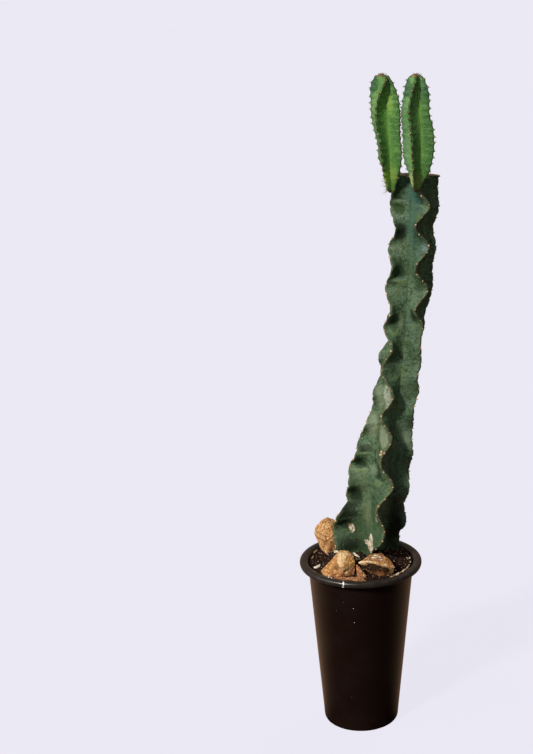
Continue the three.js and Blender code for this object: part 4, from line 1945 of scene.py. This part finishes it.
OLD_STEM = OldStem(
    name="stem",
    node="main_stem",
    slot=Slot.OLD_STEM,
    bottom=345,
    top=1177,
    axis_x=Track((
        (330, 10), (385, 12), (425, 17), (490, 31), (540, 38), (627, 51), (714, 69), (778, 80), (863, 93),
        (945, 101), (1027, 107), (1117, 110), (1180, 110),
    )),
    axis_y=Track(((330, 18), (600, 22), (1180, 20))),
    twist=Track((
        (330, 22), (425, 18), (490, 15), (540, 12), (627, 2), (714, -16), (778, -32), (863, -52),
        (945, -62), (1027, -70), (1117, -80), (1180, -84),
    )),
    valley=Track(((330, 16), (385, 22), (430, 28), (540, 25), (700, 19), (1180, 18))),
    ribs=OLD_RIBS,
    edge_half=3.2,
    areole_pitch=19,
    first_areole=352,
    last_notch=395,
    edge_relief=-2.8,
    top_profile=Track(((60, 0.8), (95, 0.4), (126, 0.4), (140, -0.8), (156, -2.8))),
    film=(0.85, 0.35, 0.4, 0.45),
    dry=Track(((1150, 0), (1175, 0), (1176.8, 1))),
    dents=(
        Dent((79, 4, 1074), 27, 26, 5.4), Dent((75, -1, 998), 24, 24, 4.2, 0.8),
        Dent((66, -4, 898), 22, 27, 3.7, 0.65), Dent((77, -3, 833), 20, 30, 1.5, 0.4),
        Dent((68, -3, 792), 16, 18, 2.1, 0.5), Dent((107, -15, 902), 14, 18, 2.4),
        Dent((8, 12, 614), 24, 8, 2.6), Dent((-3, 12, 582), 22, 13, 3.6), Dent((-10, 7, 514), 20, 24, 3.2),
        Dent((-32, -8, 476), 26, 12, 3.8), Dent((-36, -7, 454), 22, 10, 3.8),
        Dent((70, 3, 1145), 15, 17, 3.0), Dent((118, -12, 1129), 13, 8, 3.2),
        Dent((36, -13, 572), 12, 20, 2.0), Dent((99, -14, 800), 13, 15, 2.2),
        Dent((42, 15, 640), 13, 17, 2.2),
    ),
    extra_areoles=(
        Areole(np.array((44.5, -33, 619)), np.array((-0.5, -0.8, 0.2)), 1.6),
        Areole(np.array((43.5, -32, 612)), np.array((-0.6, -0.8, 0.0)), 1.8),
    ),
)


def young_shoot(
    name: str, bottom: float, top: float, axis_x: Track, axis_y: Track, twist: Track, lean: Track,
    film: tuple[float, ...], reaches: tuple[Track, ...],
) -> YoungShoot:
    """Makes a shoot of straight ribs.

    Args:
        name: First part of its pieces' names, and its CAD node.
        bottom: Height of its foot.
        top: Height of its tip.
        axis_x: The axis's place along X.
        axis_y: The axis's place along Y.
        twist: Turn of its ribs.
        lean: Turn of the front rib from its usual place.
        film: How much waxy film each valley has.
        reaches: Distance of each rib's edge from the axis, the front rib first.

    Returns:
        The shoot.
    """
    straight = Track(((bottom, 0), (top, 0)))
    turns = [lean, *(Track(((bottom, 90 * i), (top, 90 * i))) for i in range(1, len(reaches)))]
    return YoungShoot(
        name=name,
        node=name,
        slot=Slot.YOUNG_STEM,
        bottom=bottom,
        top=top,
        axis_x=axis_x,
        axis_y=axis_y,
        twist=twist,
        valley=Track(tuple((z, max(0.38 * reach, 3.4)) for z, reach in reaches[2].stations)),
        ribs=tuple(Rib(turn, reach, (bottom, top), straight) for turn, reach in zip(turns, reaches)),
        film=film,
        dry=Track(((bottom, 1), (bottom + 3, 0.8), (bottom + 8, 0), (top - 4, 0), (top, 0.7))),
        edge_half=2.4,
        edge_relief=1.5,
        areole_pitch=13,
        first_areole=bottom + 10,
        last_notch=bottom + 18,
        wrinkle_size=14.0,
        wrinkle_height=0.45,
        top_rise=1.5,
    )


LEFT_SHOOT = young_shoot(
    name="shoot_left",
    bottom=1143,
    top=1367,
    axis_x=Track((
        (1143, 63.5), (1150, 62.5), (1176, 59), (1195, 58.4), (1218, 57), (1235, 55), (1262, 52.5),
        (1288, 50.5), (1308, 49.2), (1335, 48), (1370, 44.5),
    )),
    axis_y=Track(((1143, 8), (1150, 5), (1165, -1), (1185, -8), (1215, -13), (1370, -15))),
    twist=Track(((1143, -34), (1200, -29), (1370, -27))),
    lean=Track((
        (1143, -9), (1195, -7), (1225, -3.5), (1245, -2), (1263, -7), (1290, -9), (1310, -4), (1323, 4),
        (1337, 14), (1350, 33), (1362, 50), (1370, 50),
    )),
    film=(0.1, 0.4, 0.6, 0.9),
    reaches=(
        Track((
            (1143, 4.5), (1150, 8), (1160, 10), (1176, 13), (1195, 17.5), (1215, 21.5), (1262, 25.5),
            (1300, 27.5), (1335, 25.5), (1350, 22.5), (1362, 15.5), (1370, 7),
        )),
        Track((
            (1143, 4.5), (1150, 9), (1160, 12), (1176, 18), (1187, 21), (1195, 23), (1217, 26.5),
            (1237, 28), (1257, 27.5), (1288, 29.8), (1320, 29.5), (1334, 26), (1348, 21), (1362, 14),
            (1370, 7),
        )),
        Track((
            (1143, 4.5), (1150, 8), (1165, 11), (1195, 18.5), (1230, 23.5), (1290, 26.5), (1335, 24.5),
            (1350, 20.5), (1362, 14), (1370, 7),
        )),
        Track((
            (1143, 4.5), (1150, 8), (1160, 9), (1176, 9), (1195, 13), (1206, 18), (1217, 19.5), (1237, 18),
            (1262, 22), (1288, 26.5), (1320, 26), (1335, 26), (1348, 24), (1362, 15.5), (1370, 8),
        )),
    ),
)
RIGHT_SHOOT = young_shoot(
    name="shoot_right",
    bottom=1150,
    top=1368.5,
    axis_x=Track((
        (1150, 112), (1161, 110.5), (1180, 111.3), (1199, 112), (1220, 113), (1244, 113.6), (1278, 112.8),
        (1300, 109.6), (1337, 107.6), (1371, 109),
    )),
    axis_y=Track(((1150, -30), (1165, -38), (1185, -45), (1215, -49), (1371, -50))),
    twist=Track(((1150, -24), (1371, -22))),
    lean=Track((
        (1150, -3), (1184, 4), (1201, 5), (1215, 1), (1247, -1.5), (1280, -6.5), (1308, -4.5), (1321, -1),
        (1333, 5), (1344, 10), (1353, 14), (1371, 20),
    )),
    film=(0.3, 0.4, 0.6, 1.0),
    reaches=(
        Track((
            (1150, 4.5), (1165, 11), (1190, 20.5), (1220, 26.5), (1250, 29.5), (1300, 29), (1337, 25.5),
            (1352, 21), (1364, 14.5), (1371, 7),
        )),
        Track((
            (1150, 4.5), (1161, 8.5), (1174, 14.5), (1188, 22), (1206, 26.5), (1225, 29), (1244, 29.5),
            (1262, 29), (1278, 27), (1294, 24), (1337, 24.5), (1354, 18.5), (1364, 12.5), (1371, 7),
        )),
        Track((
            (1150, 4.5), (1165, 10.5), (1190, 19.5), (1230, 26.5), (1290, 27.5), (1337, 24.5), (1352, 19),
            (1364, 13), (1371, 7),
        )),
        Track((
            (1150, 4.5), (1168, 8.5), (1188, 14.5), (1199, 20.5), (1216, 26), (1235, 28.5), (1264, 29.5),
            (1283, 30.2), (1300, 28.2), (1320, 24.5), (1337, 20.5), (1352, 18), (1364, 13), (1371, 7),
        )),
    ),
)

SCAR = tint(238, 218, 192)
# Painted shade for the lower right flank of the old stem
DEEP_SHADE = tint(9, 14, 5)
SHADE = tint(22, 37, 18)
DUSK = tint(31, 50, 28)
BOTTLE = tint(42, 63, 34)
MOSS = tint(45, 73, 29)
LEAF = tint(58, 80, 52)
TEAL_SHADE = tint(54, 87, 74)
TEAL = tint(63, 106, 93)
OLIVE = tint(92, 110, 68)
SAGE = tint(110, 124, 90)
FILM = tint(126, 148, 120)
BLUE_FILM = tint(112, 134, 140)
PALE_FILM = tint(150, 162, 134)
WHITE_FILM = tint(186, 192, 174)
CREAM = tint(214, 206, 180)
BARK = tint(112, 88, 60)
OLD_MARKS = (
    # Painted shade on the old stem under and between the shoots
    Mark((88, 8, 1166), (20, 40, 19), TEAL_SHADE, 9, 0.6, 0.5),
    Mark((76, 6, 1146), (16, 40, 20), BOTTLE, 9, 0.85, 0.5),
    Mark((108, -6, 1140), (24, 40, 26), TEAL, 12, 0.85, 0.7),
    Mark((112, -12, 1060), (20, 40, 110), TEAL_SHADE, 16, 0.5, 0.9),
    Mark((100, -2, 1080), (12, 40, 60), TEAL, 12, 0.5, 0.9),
    Mark((116, -10, 1113), (11, 40, 12), TEAL_SHADE, 6, 0.65, 0.8),
    Mark((82, 5, 1127), (17, 40, 2.4), FILM, 5, 0.55, 0.9, 1.2),
    Mark((78.5, 14, 1111), (16, 30, 15), MOSS, 6, 0.95, 0.5, 0.8),
    Mark((118, -19, 1094), (9, 40, 12), OLIVE, 5, 0.7, 0.6, 0.8),
    # Painted shade in the upper left dent
    Mark((80, 4, 1069), (17, 30, 27), SHADE, 8, 0.9, 0.6, 1),
    Mark((76, -2, 1032), (14, 30, 14), SAGE, 7, 0.6, 0.7),
    Mark((74, -1, 1027), (9, 30, 8), LEAF, 4, 0.7, 0.5, 1.4),
    Mark((76, -4, 945), (16, 30, 20), OLIVE, 7, 0.35, 0.8, 1),
    Mark((66, -4, 962), (12, 30, 7), DUSK, 4, 0.6, 0.5, 1.2),
    Mark((140, 18, 1110), (14, 30, 75), LEAF, 12, 0.5, 0.8),
    Mark((146, 14, 1130), (10, 30, 40), SAGE, 10, 0.35, 0.9),
    Mark((129, -17, 1040), (9, 40, 15), BLUE_FILM, 8, 0.5, 0.8, 0.8),
    Mark((117, -22, 956), (16, 30, 26), LEAF, 10, 0.95, 0.8),
    Mark((117, -12, 862), (13, 30, 28), LEAF, 8, 0.5, 0.8),
    Mark((83, 2, 888), (7, 30, 24), SAGE, 8, 0.6, 0.8),
    Mark((69, 1, 869), (7, 30, 7), MOSS, 4, 0.7, 0.5, 1.2),
    Mark((98, -4, 838), (8, 30, 11), MOSS, 4, 0.7, 0.5, 1.4),
    Mark((106, -5, 828), (16, 30, 42), LEAF, 8, 0.45, 0.9),
    # Painted light that lifts the shade of the hollow at this height
    Mark((70, 6, 715), (14, 30, 32), OLIVE, 8, 0.7, 0.9),
    Mark((94, 2, 783), (7, 30, 4), MOSS, 3.5, 0.7, 0.5, 1.4),
    Mark((84, 5, 770), (10, 30, 24), OLIVE, 6, 0.5, 0.8, 1),
    Mark((57, 0, 728), (12, 40, 34), WHITE_FILM, 6, 0.85, 0.6, 0.9, 0.8),
    Mark((40, 10, 720), (14, 40, 38), PALE_FILM, 10, 0.6, 0.9, 0.9, 0.3),
    Mark((24, 17, 664), (17, 30, 38), PALE_FILM, 12, 0.6, 0.8),
    # Painted light on the right-front flank, lit down to this height
    Mark((95, 18, 643), (16, 30, 34), FILM, 10, 0.8, 0.8),
    Mark((49, -12, 644), (14, 40, 29), PALE_FILM, 7, 0.8, 0.6, 0.6, 0.3),
    Mark((31, 4, 606), (1.7, 25, 9), DUSK, 4, 0.85, 0.3, 1.2),
    Mark((32, 3, 589), (2.0, 25, 6), DUSK, 4, 0.85, 0.3, 1.2),
    Mark((9, 5.6, 602.5), (1.3, 20, 1.3), CREAM, 2, 1, 0.3, 0.4),
    Mark((28.5, 1, 568), (13, 30, 17), FILM, 7, 0.6, 0.9),
    Mark((4, 3, 534), (24, 30, 32), SAGE, 12, 0.42, 0.9),
    Mark((28, -12, 515), (18, 30, 18), LEAF, 8, 0.5, 0.8, 1),
    Mark((46, -25, 556), (7, 25, 9), BOTTLE, 4, 0.7, 0.6, 1.4),
    Mark((30, -14, 531), (7, 25, 6), BOTTLE, 4, 0.75, 0.5, 1.6),
    Mark((28, -15, 511), (5, 25, 4.5), BOTTLE, 4, 0.75, 0.5, 1.6),
    Mark((27, -17, 498), (5, 25, 4), BOTTLE, 4, 0.7, 0.5, 1.6),
    # Painted shade in the dent at the left of the foot
    Mark((-12, 4, 512), (16, 30, 23), DUSK, 6, 0.95, 0.7, 1.3),
    # Painted shade under the left bulge at the foot
    Mark((-24, 2, 480), (30, 30, 26), SHADE, 6, 0.95, 0.7, 1.3),
    Mark((0, 0, 430), (80, 70, 90), BOTTLE, 30, 0.6, 0.9, 0.7),
    Mark((15, -8, 474), (14, 30, 34), SAGE, 10, 0.5, 0.8),
    Mark((37, -32, 426), (13, 30, 28), LEAF, 8, 0.7, 0.7),
    # Painted shade in the fold under the left edge
    Mark((-28, -2, 468), (26, 34, 19), SHADE, 6, 0.9, 0.6, 1.2),
    # Painted highlight on the front rib's edge
    Mark((34, -31, 473), (4, 20, 12), PALE_FILM, 4, 0.7, 0.6, 0.8),
    # Painted shade in the lower fold under the left edge
    Mark((-34, -6, 446), (20, 30, 9), SHADE, 5, 0.85, 0.6, 1),
    # Painted shade at the base of the stem
    Mark((-22, -6, 402), (36, 40, 24), SHADE, 8, 0.95, 0.8, 1),
    Mark((6, -14, 396), (14, 30, 16), BOTTLE, 6, 0.7, 0.7, 1),
    Mark((68, 12, 560), (18, 40, 70), MOSS, 12, 0.4, 0.8, 0.8),
    # Painted shade over the lower right flank, which faces away from the key lamp
    Mark((74, 18, 408), (30, 50, 150), DEEP_SHADE, 20, 0.93, 0.7, 0.6),
    Mark((-24, -2, 447), (3.5, 25, 3), BARK, 3, 1, 0.3, 0.8),
    Mark((-18, -2, 438), (6.5, 25, 10.5), SCAR, 3.5, 0.95, 0.3, 1.4, 0.8),
    Mark((22, -21, 424), (4, 25, 10), SCAR, 3, 0.95, 0.3, 1.5, 0.7),
    Mark((17.5, -18, 412), (9, 25, 7), SCAR, 3, 0.95, 0.3, 1.8, 0.8),
    Mark((21.5, -24, 406), (6, 25, 13), SCAR, 3, 0.95, 0.3, 1.6, 0.7),
    Mark((23.5, -26, 394), (3.5, 25, 9), SCAR, 3, 0.95, 0.3, 1.5, 0.7),
)
OLD_SKIN = SkinFinish(
    name="old_skin",
    plain=tint(62, 88, 54),
    pale=tint(104, 128, 82),
    deep=tint(36, 58, 32),
    bloom=tint(98, 126, 104),
    groove=tint(28, 44, 26),
    groove_foot=760.0,
    flush=tint(92, 104, 68),
    edge=tint(104, 78, 58),
    cork=tint(236, 206, 168),
    patch_size=40.0,
    bloom_share=0.7,
    edge_share=0.8,
    heart=0.0,
    edge_start=1.19,
    mottling=1.0,
    roughness=0.5,
    marks=OLD_MARKS,
)

YOUNG_TEAL = tint(44, 91, 57)
YOUNG_DEEP = tint(54, 98, 40)
YOUNG_SAGE = tint(88, 128, 78)
YOUNG_FILM = tint(128, 168, 104)
LIME = tint(148, 188, 84)
# Painted light for the shaded foot of the left shoot
PAINTED_LIGHT_LIME = tint(166, 212, 92)
YOUNG_OLIVE = tint(140, 162, 78)
YOUNG_CREAM = tint(196, 208, 144)
YOUNG_SKIN = SkinFinish(
    name="young_skin",
    plain=tint(80, 133, 57),
    pale=tint(112, 163, 73),
    deep=tint(62, 106, 48),
    bloom=tint(117, 158, 110),
    groove=tint(74, 116, 46),
    groove_foot=1000.0,
    flush=tint(52, 92, 44),
    edge=tint(60, 44, 28),
    cork=tint(110, 80, 44),
    patch_size=24.0,
    bloom_share=0.8,
    edge_share=0.85,
    heart=0.6,
    edge_start=1.12,
    mottling=0.6,
    roughness=0.45,
    marks=(
        Mark((134, -50, 1262), (21, 60, 125), YOUNG_DEEP, 14, 0.5, 0.9),
        Mark((142, -20, 1222), (16, 60, 40), YOUNG_TEAL, 12, 0.7, 0.8),
        Mark((129, -50, 1342), (18, 60, 26), YOUNG_TEAL, 8, 0.7, 0.7),
        # Painted light on the foot of the left shoot's shaded flank
        Mark((62, -14, 1180), (18, 40, 30), LIME, 10, 0.75, 0.9),
        Mark((53, -8, 1170), (8, 30, 28), PAINTED_LIGHT_LIME, 8, 0.85, 0.8),
        Mark((30, -10, 1310), (9, 60, 60), YOUNG_FILM, 12, 0.55, 0.9),
        Mark((113, -40, 1172), (12, 60, 24), YOUNG_OLIVE, 10, 0.7, 0.9),
        Mark((101, -44, 1170), (6, 40, 20), YOUNG_CREAM, 5, 0.7, 0.6),
        Mark((98, -40, 1262), (12, 50, 90), YOUNG_SAGE, 12, 0.4, 0.9),
        Mark((60, -25, 1316), (7, 30, 24), LIME, 10, 0.7, 0.8),
        # Painted shade on the left face of the left shoot's tip
        Mark((26, -10, 1351), (17, 30, 20), YOUNG_TEAL, 8, 0.8, 0.5),
        Mark((91, -47, 1345), (14, 30, 20), YOUNG_TEAL, 8, 0.75, 0.5),
    ),
)

FELT = FibreFinish("areole_felt", tint(232, 206, 164), tint(176, 132, 92), 3.2)
YOUNG_FELT = FibreFinish("young_felt", tint(206, 176, 122), tint(96, 64, 38), 2.2)
HORN = FibreFinish("spine_horn", tint(98, 72, 54), tint(150, 122, 92), 3.0, 0.6)
YOUNG_HORN = FibreFinish("young_horn", tint(84, 58, 36), tint(168, 130, 84), 3.0, 0.6)
TWIG = FibreFinish("dry_twig", tint(206, 198, 176), tint(168, 154, 126), 3.0, 0.7)

GOLD = tint(236, 174, 84)
OCHRE = tint(192, 122, 56)
RUSTY = tint(174, 102, 56)
UMBER = tint(156, 100, 54)
EARTH = tint(118, 82, 48)
# Painted shade for the front face of the front-right stone
SHADED = tint(46, 25, 13)
# White painted glints for the ridge of the front-right stone
HIGHLIGHT_WHITE = tint(255, 246, 226)
BUFF = tint(255, 206, 148)
# Lighter painted shade over the whole front face of that stone
SHADED_EARTH = tint(86, 54, 31)
# Painted highlight for the top of the front-left stone
HIGHLIGHT_CREAM = tint(255, 228, 176)
AMBER = tint(150, 92, 38)
TAN_MARKS = (
    # Painted highlights on the top of the front-left stone
    Mark((-40, -70, 396), (10, 18, 16), HIGHLIGHT_CREAM, 7, 0.9, 0.9, 1.2),
    Mark((-38, -62, 403), (16, 18, 6), HIGHLIGHT_CREAM, 5, 0.75, 0.8, 1),
    Mark((-20, -66, 388), (9, 16, 15), GOLD, 6, 0.8, 0.6),
    Mark((-10, -60, 388), (5, 14, 18), UMBER, 5, 0.8, 0.6),
    Mark((-56, -86, 360), (12, 16, 8), RUSTY, 5, 0.9, 0.3, 0.5),
    Mark((-32, -84, 364), (16, 16, 9), RUSTY, 5, 0.9, 0.3, 0.5),
    Mark((-12, -64, 368), (14, 20, 14), RUSTY, 5, 0.9, 0.3, 0.5),
    Mark((-26, -80, 370), (7, 8, 8), BUFF, 4, 0.95, 0.4),
    Mark((-64, -70, 378), (24, 26, 22), OCHRE, 8, 0.7, 0.8, 0.8),
    Mark((26, -62, 402), (32, 24, 10), UMBER, 5, 0.9, 0.4, 0.6),
    Mark((40, -72, 398), (12, 12, 6), RUSTY, 4, 0.8, 0.5, 1),
    # Painted glints along the ridge of the front-right stone
    Mark((27, -68, 401), (4.5, 3, 4), HIGHLIGHT_WHITE, 2, 1, 0.2, 2),
    Mark((33, -61, 401), (4.5, 3, 4), HIGHLIGHT_WHITE, 2, 1, 0.2, 2),
    Mark((40, -64, 400), (4.5, 3, 4), HIGHLIGHT_WHITE, 2, 1, 0.2, 2),
    Mark((44, -71, 397), (2.6, 2.6, 2.6), HIGHLIGHT_WHITE, 2, 1, 0.2, 1),
    Mark((53, -84, 391), (2.6, 2.6, 2.6), HIGHLIGHT_WHITE, 2, 1, 0.2, 1),
    Mark((66, -79, 384), (2.6, 2.6, 2.6), HIGHLIGHT_WHITE, 2, 1, 0.2, 1),
    Mark((60, -66, 392), (13, 20, 12), OCHRE, 6, 0.95, 0.4),
    # Painted highlight along the ridge line
    Mark((3, -75, 391.5), (11, 7, 3), HIGHLIGHT_WHITE, 2, 0.95, 0.4, 1.2),
    Mark((17, -82, 397.5), (6, 5, 2), HIGHLIGHT_WHITE, 2, 0.75, 0.4, 1.2),
)
TAN_SHADES = (
    Mark((-48, -77, 383), (9, 14, 6), EARTH, 4, 0.8, 0.6, 1),
    # Painted shade on the front face of the front-right stone, in layers under its ridge
    Mark((31, -100, 374), (45, 24, 22), SHADED_EARTH, 6, 0.9, 0.2, 0.25),
    Mark((5, -82, 377), (14, 24, 11), SHADED, 3, 1, 0.25, 0.7),
    Mark((26, -88, 378.5), (23, 24, 16.5), SHADED, 3, 1, 0.2, 0.7),
    Mark((47, -90, 373), (20, 24, 14), SHADED, 3, 1, 0.25),
    Mark((40, -88, 366), (31, 24, 10.5), UMBER, 4, 0.9, 0.5, 1.5),
    Mark((60, -70, 391), (14, 18, 9), AMBER, 4, 0.6, 0.6, 1),
    Mark((-76, 34, 390), (16, 12, 7), UMBER, 5, 0.6, 0.6, 1.2),
)
TAN = StoneFinish(
    "tan_stone", tint(218, 154, 92), tint(255, 220, 166), tint(202, 136, 70), tint(124, 78, 42), TAN_MARKS,
    TAN_SHADES,
)
RUST = StoneFinish(
    "rust_stone", tint(148, 86, 50), tint(232, 184, 134), tint(170, 108, 64), tint(70, 40, 24),
)

BED = BedFinish("potting_mix", tint(34, 17, 10), tint(10, 6, 4), tint(74, 42, 26), tint(150, 120, 98))
DARK_CRUMB = GritFinish("dark_crumbs", tint(15, 7, 4), tint(40, 19, 11), tint(80, 42, 26))
BARK_CRUMB = GritFinish("bark_bits", tint(48, 24, 14), tint(92, 52, 33), tint(164, 116, 84))
PALE_CRUMB = GritFinish("pale_grit", tint(136, 98, 72), tint(190, 152, 120), tint(246, 238, 226))
CHIP_WOOD = GritFinish("chip_wood", tint(120, 84, 58), tint(200, 160, 120), tint(255, 246, 230), 0.8, 2.5)

POT_PLASTIC = PlasticFinish(
    name="pot_plastic",
    plain=tint(26, 14, 10),
    worn=tint(46, 40, 38),
    dust=tint(150, 140, 128),
    roughness=0.2,
    marks=(
        Mark((-33.6, -121, 366), (1.9, 9, 4.6), tint(250, 246, 240), 3, 1, 0.3, 0.8),
        Mark((-34.8, -126, 359.6), (2.7, 6, 1.9), tint(250, 246, 240), 2, 1, 0.3, 0.5),
        Mark((-13.9, -105.8, 302.5), (0.9, 4, 0.9), tint(240, 236, 220), 5, 1, 0.3, 0.2),
        Mark((-12, -103, 269.3), (0.9, 4, 0.9), tint(240, 236, 220), 5, 1, 0.3, 0.2),
        Mark((-34.1, -102.3, 314.3), (0.8, 4, 0.8), tint(120, 96, 80), 5, 1, 0.3, 0.2),
        Mark((-49.4, -93.5, 292.4), (0.8, 4, 0.8), tint(120, 96, 80), 5, 1, 0.3, 0.2),
        Mark((-19.4, -85.4, 85.2), (0.8, 4, 0.8), tint(120, 96, 80), 5, 1, 0.3, 0.2),
    ),
)

TWIG_FEET = ((54, -2, 1166), (55, -3, 1156), (56, -3, 1148))

LITTER = (
    Litter("soil_crumbs", DARK_CRUMB, 52000, 1.4, 5.0, 0.75, 0.6, 0.1, 0.35, 3),
    Litter("soil_bark", BARK_CRUMB, 13000, 1.4, 5.0, 0.5, 0.35, 0.3, 0.35, 17),
    Litter("soil_grit", PALE_CRUMB, 18000, 0.9, 2.8, 0.85, 0.7, 0.35, 0.2, 29),
)
RIM_BITS = tuple(
    Chip(
        (105.5 * math.cos(turn), 105.5 * math.sin(turn), 363.5 + math.sin(7 * turn)),
        5.5 + 2.5 * math.sin(41 * turn), 3.6, 3.0, 97 + 30 * math.sin(23 * turn) + math.degrees(turn), 12,
        0.6 + 0.4 * math.sin(31 * turn),
    )
    for turn in np.radians(np.arange(-52, 10, 2.6))
)
CHIPS = (
    Chip((-91, -33, 363.5), 15, 6.0, 3.6, 42, 6, 1.0),
    Chip((-52, 27, 372), 11, 6, 4.0, -10, 10, 1.0),
    Chip((-44, 24, 373), 7, 5, 4.0, 30, 10, 1.0),
    Chip((-10, -8, 380), 26, 4, 3.0, -58, -4, 0.9),
    Chip((-5, -24, 377), 12, 4, 3.0, -20, 0, 0.7),
    Chip((-98, 44, 365), 16, 3, 2.0, 66, 0, 0.4),
    Chip((-103, 14, 364), 13, 3, 2.0, 80, 0, 0.4),
    Chip((-64, -101, 371), 4, 3, 2.0, 20, 0, 1.0),
    Chip((-58, -104, 371), 3, 3, 2.0, 20, 0, 0.9),
    *RIM_BITS,
)

STONE_BACK_LEFT = (
    (-71, 36, 357), (-60, 44, 356), (-84, 56, 358), (-64, 62, 356), (-89, 46, 376), (-101, 50, 404),
    (-97, 46, 423), (-85, 44, 437), (-73, 46, 443), (-60, 50, 438), (-49, 52, 427), (-45, 50, 402),
    (-48, 44, 376), (-80, 35, 402), (-66, 33, 386), (-60, 36, 414), (-90, 66, 415), (-70, 72, 425),
    (-53, 68, 410), (-72, 72, 380),
)
STONE_FRONT_LEFT = (
    (-84, -56, 361), (-70, -77, 360), (-40, -84, 362), (-12, -68, 360), (-10, -42, 357), (-40, -28, 357),
    (-66, -36, 357), (-65, -74, 376), (-34, -83, 386), (-10, -62, 387), (-51, -59, 403), (-40, -52, 410),
    (-26, -54, 409), (-14, -50, 399), (-46, -36, 398), (-20, -34, 396),
)
STONE_FRONT_RIGHT = (
    (16, -62, 400), (24, -53, 402), (43, -47, 402), (50, -51, 398), (62, -64, 393), (72, -80, 384),
    (-4, -72, 390), (-3, -62, 385), (16, -82, 398), (37, -88, 396), (55, -88, 388), (71, -77, 378),
    (12, -49, 361), (28, -60, 360), (42, -79, 361), (56, -74, 360), (68, -65, 360), (60, -46, 359),
    (38, -41, 361), (20, -41, 361),
)
STONE_MIDDLE = (
    (-8, -74, 387), (-3, -77, 386), (4, -78, 376), (12, -84, 366), (12, -73, 364), (-6, -85, 361),
    (10, -87, 359), (-6, -70, 359), (9, -66, 358),
)
STONE_FLAT = (
    (-62, -87, 358), (-42, -98, 358), (-10, -104, 358), (11, -101, 358), (14, -90, 359), (-20, -89, 358),
    (-54, -88, 366), (-34, -96, 368), (-4, -99, 369), (8, -92, 368),
)

STONES = (
    Stone(
        node="rock_back_left",
        corners=STONE_BACK_LEFT,
        finish=TAN,
        creases=(
            Crease((-98, 43, 416), (-62, 32, 402), -1.6, 1.8),
            Crease((-96, 40, 410), (-60, 32, 396), 1.6, 2.2, 0.7),
            Crease((-72, 33, 396), (-80, 36, 380), 1.0, 1.8, 0.9),
        ),
    ),
    Stone(
        node="rock_front_left",
        corners=STONE_FRONT_LEFT,
        finish=TAN,
        creases=(
            Crease((-66, -80, 362), (-48, -82, 368), 2.2, 2.4),
            Crease((-48, -82, 368), (-31, -80, 373), 2.0, 2.2),
            Crease((-31, -80, 373), (-10, -60, 382), 2.2, 2.4),
            Crease((-40, -63, 401), (-41, -79, 386), -1.4, 3.0, 0.9),
            Crease((-28, -80, 376), (-16, -68, 379), -1.2, 1.8, 1.0),
        ),
    ),
    Stone(
        node="rock_front_right",
        corners=STONE_FRONT_RIGHT,
        finish=TAN,
        creases=(
            Crease((-4, -72, 389), (16, -82, 397), -1.1, 3.0),
            Crease((16, -82, 397), (37, -87, 395), -0.7, 2.0, 0.45),
            Crease((37, -87, 395), (56, -86, 388), -0.7, 1.6, 0.25),
            Crease((56, -86, 388), (72, -79, 383), -0.7, 1.6, 0.6),
            Crease((14, -86, 384), (58, -88, 378), 2.4, 3.6, 0.9),
        ),
        rounding=1,
    ),
    Stone(
        node="rock_middle",
        corners=STONE_MIDDLE,
        finish=RUST,
        facet=0.9,
        lump_size=7.0,
        lump_height=1.2,
        pit_size=2.5,
        pit_height=0.4,
    ),
    Stone(
        node="rock_flat",
        corners=STONE_FLAT,
        finish=RUST,
        facet=0.9,
        lump_size=9.0,
        lump_height=1.2,
        pit_size=2.5,
        pit_height=0.4,
    ),
)


def main() -> None:
    """Builds every piece of the plant in order, then the studio."""
    logging.basicConfig(level=logging.INFO, format="%(name)s: %(message)s")
    effects = Effects()
    trees = Trees()
    Pot().build(POT_PLASTIC.material(effects))
    Soil().build(effects, trees, BED, LITTER)
    build_chips("soil_chips", CHIPS, CHIP_WOOD.material(effects))
    tan, rust = TAN.material(effects), RUST.material(effects)
    for stone in STONES:
        stone.build(tan if stone.finish is TAN else rust)

    hand_over(OLD_STEM.skin(OLD_SKIN.material(effects)), OLD_STEM.slot, OLD_STEM.node)
    felt, horn = FELT.material(effects), HORN.material(effects)
    Armour(
        OLD_STEM, felt_radius=1.85, felt_height=1.7, wool=0.5, spines=6, length=5.0, radius=0.24, seed=5
    ).build(trees, felt, horn)

    feet = [Areole(np.array(place), np.array((-0.9, -0.4, -0.1)), 1.0) for place in TWIG_FEET]
    twigs = grow(
        areole_points("dry_twigs", feet), trees.spines, Spines=7, Length=15 * MM, Radius=0.6 * MM,
        Spread=0.9, Bend=1.8 * MM, Seed=8, Finish=TWIG.material(effects),
    )
    hand_over(twigs, Slot.OLD_STEM)

    skin = YOUNG_SKIN.material(effects)
    felt, horn = YOUNG_FELT.material(effects), YOUNG_HORN.material(effects)
    for shoot in (LEFT_SHOOT, RIGHT_SHOOT):
        hand_over(shoot.skin(skin), shoot.slot, shoot.node)
        Armour(
            shoot, felt_radius=1.3, felt_height=1.05, wool=0.3, spines=10, length=4.6, radius=0.32, seed=9
        ).build(trees, felt, horn)

    Studio().build()


if __name__ == "__main__":
    main()
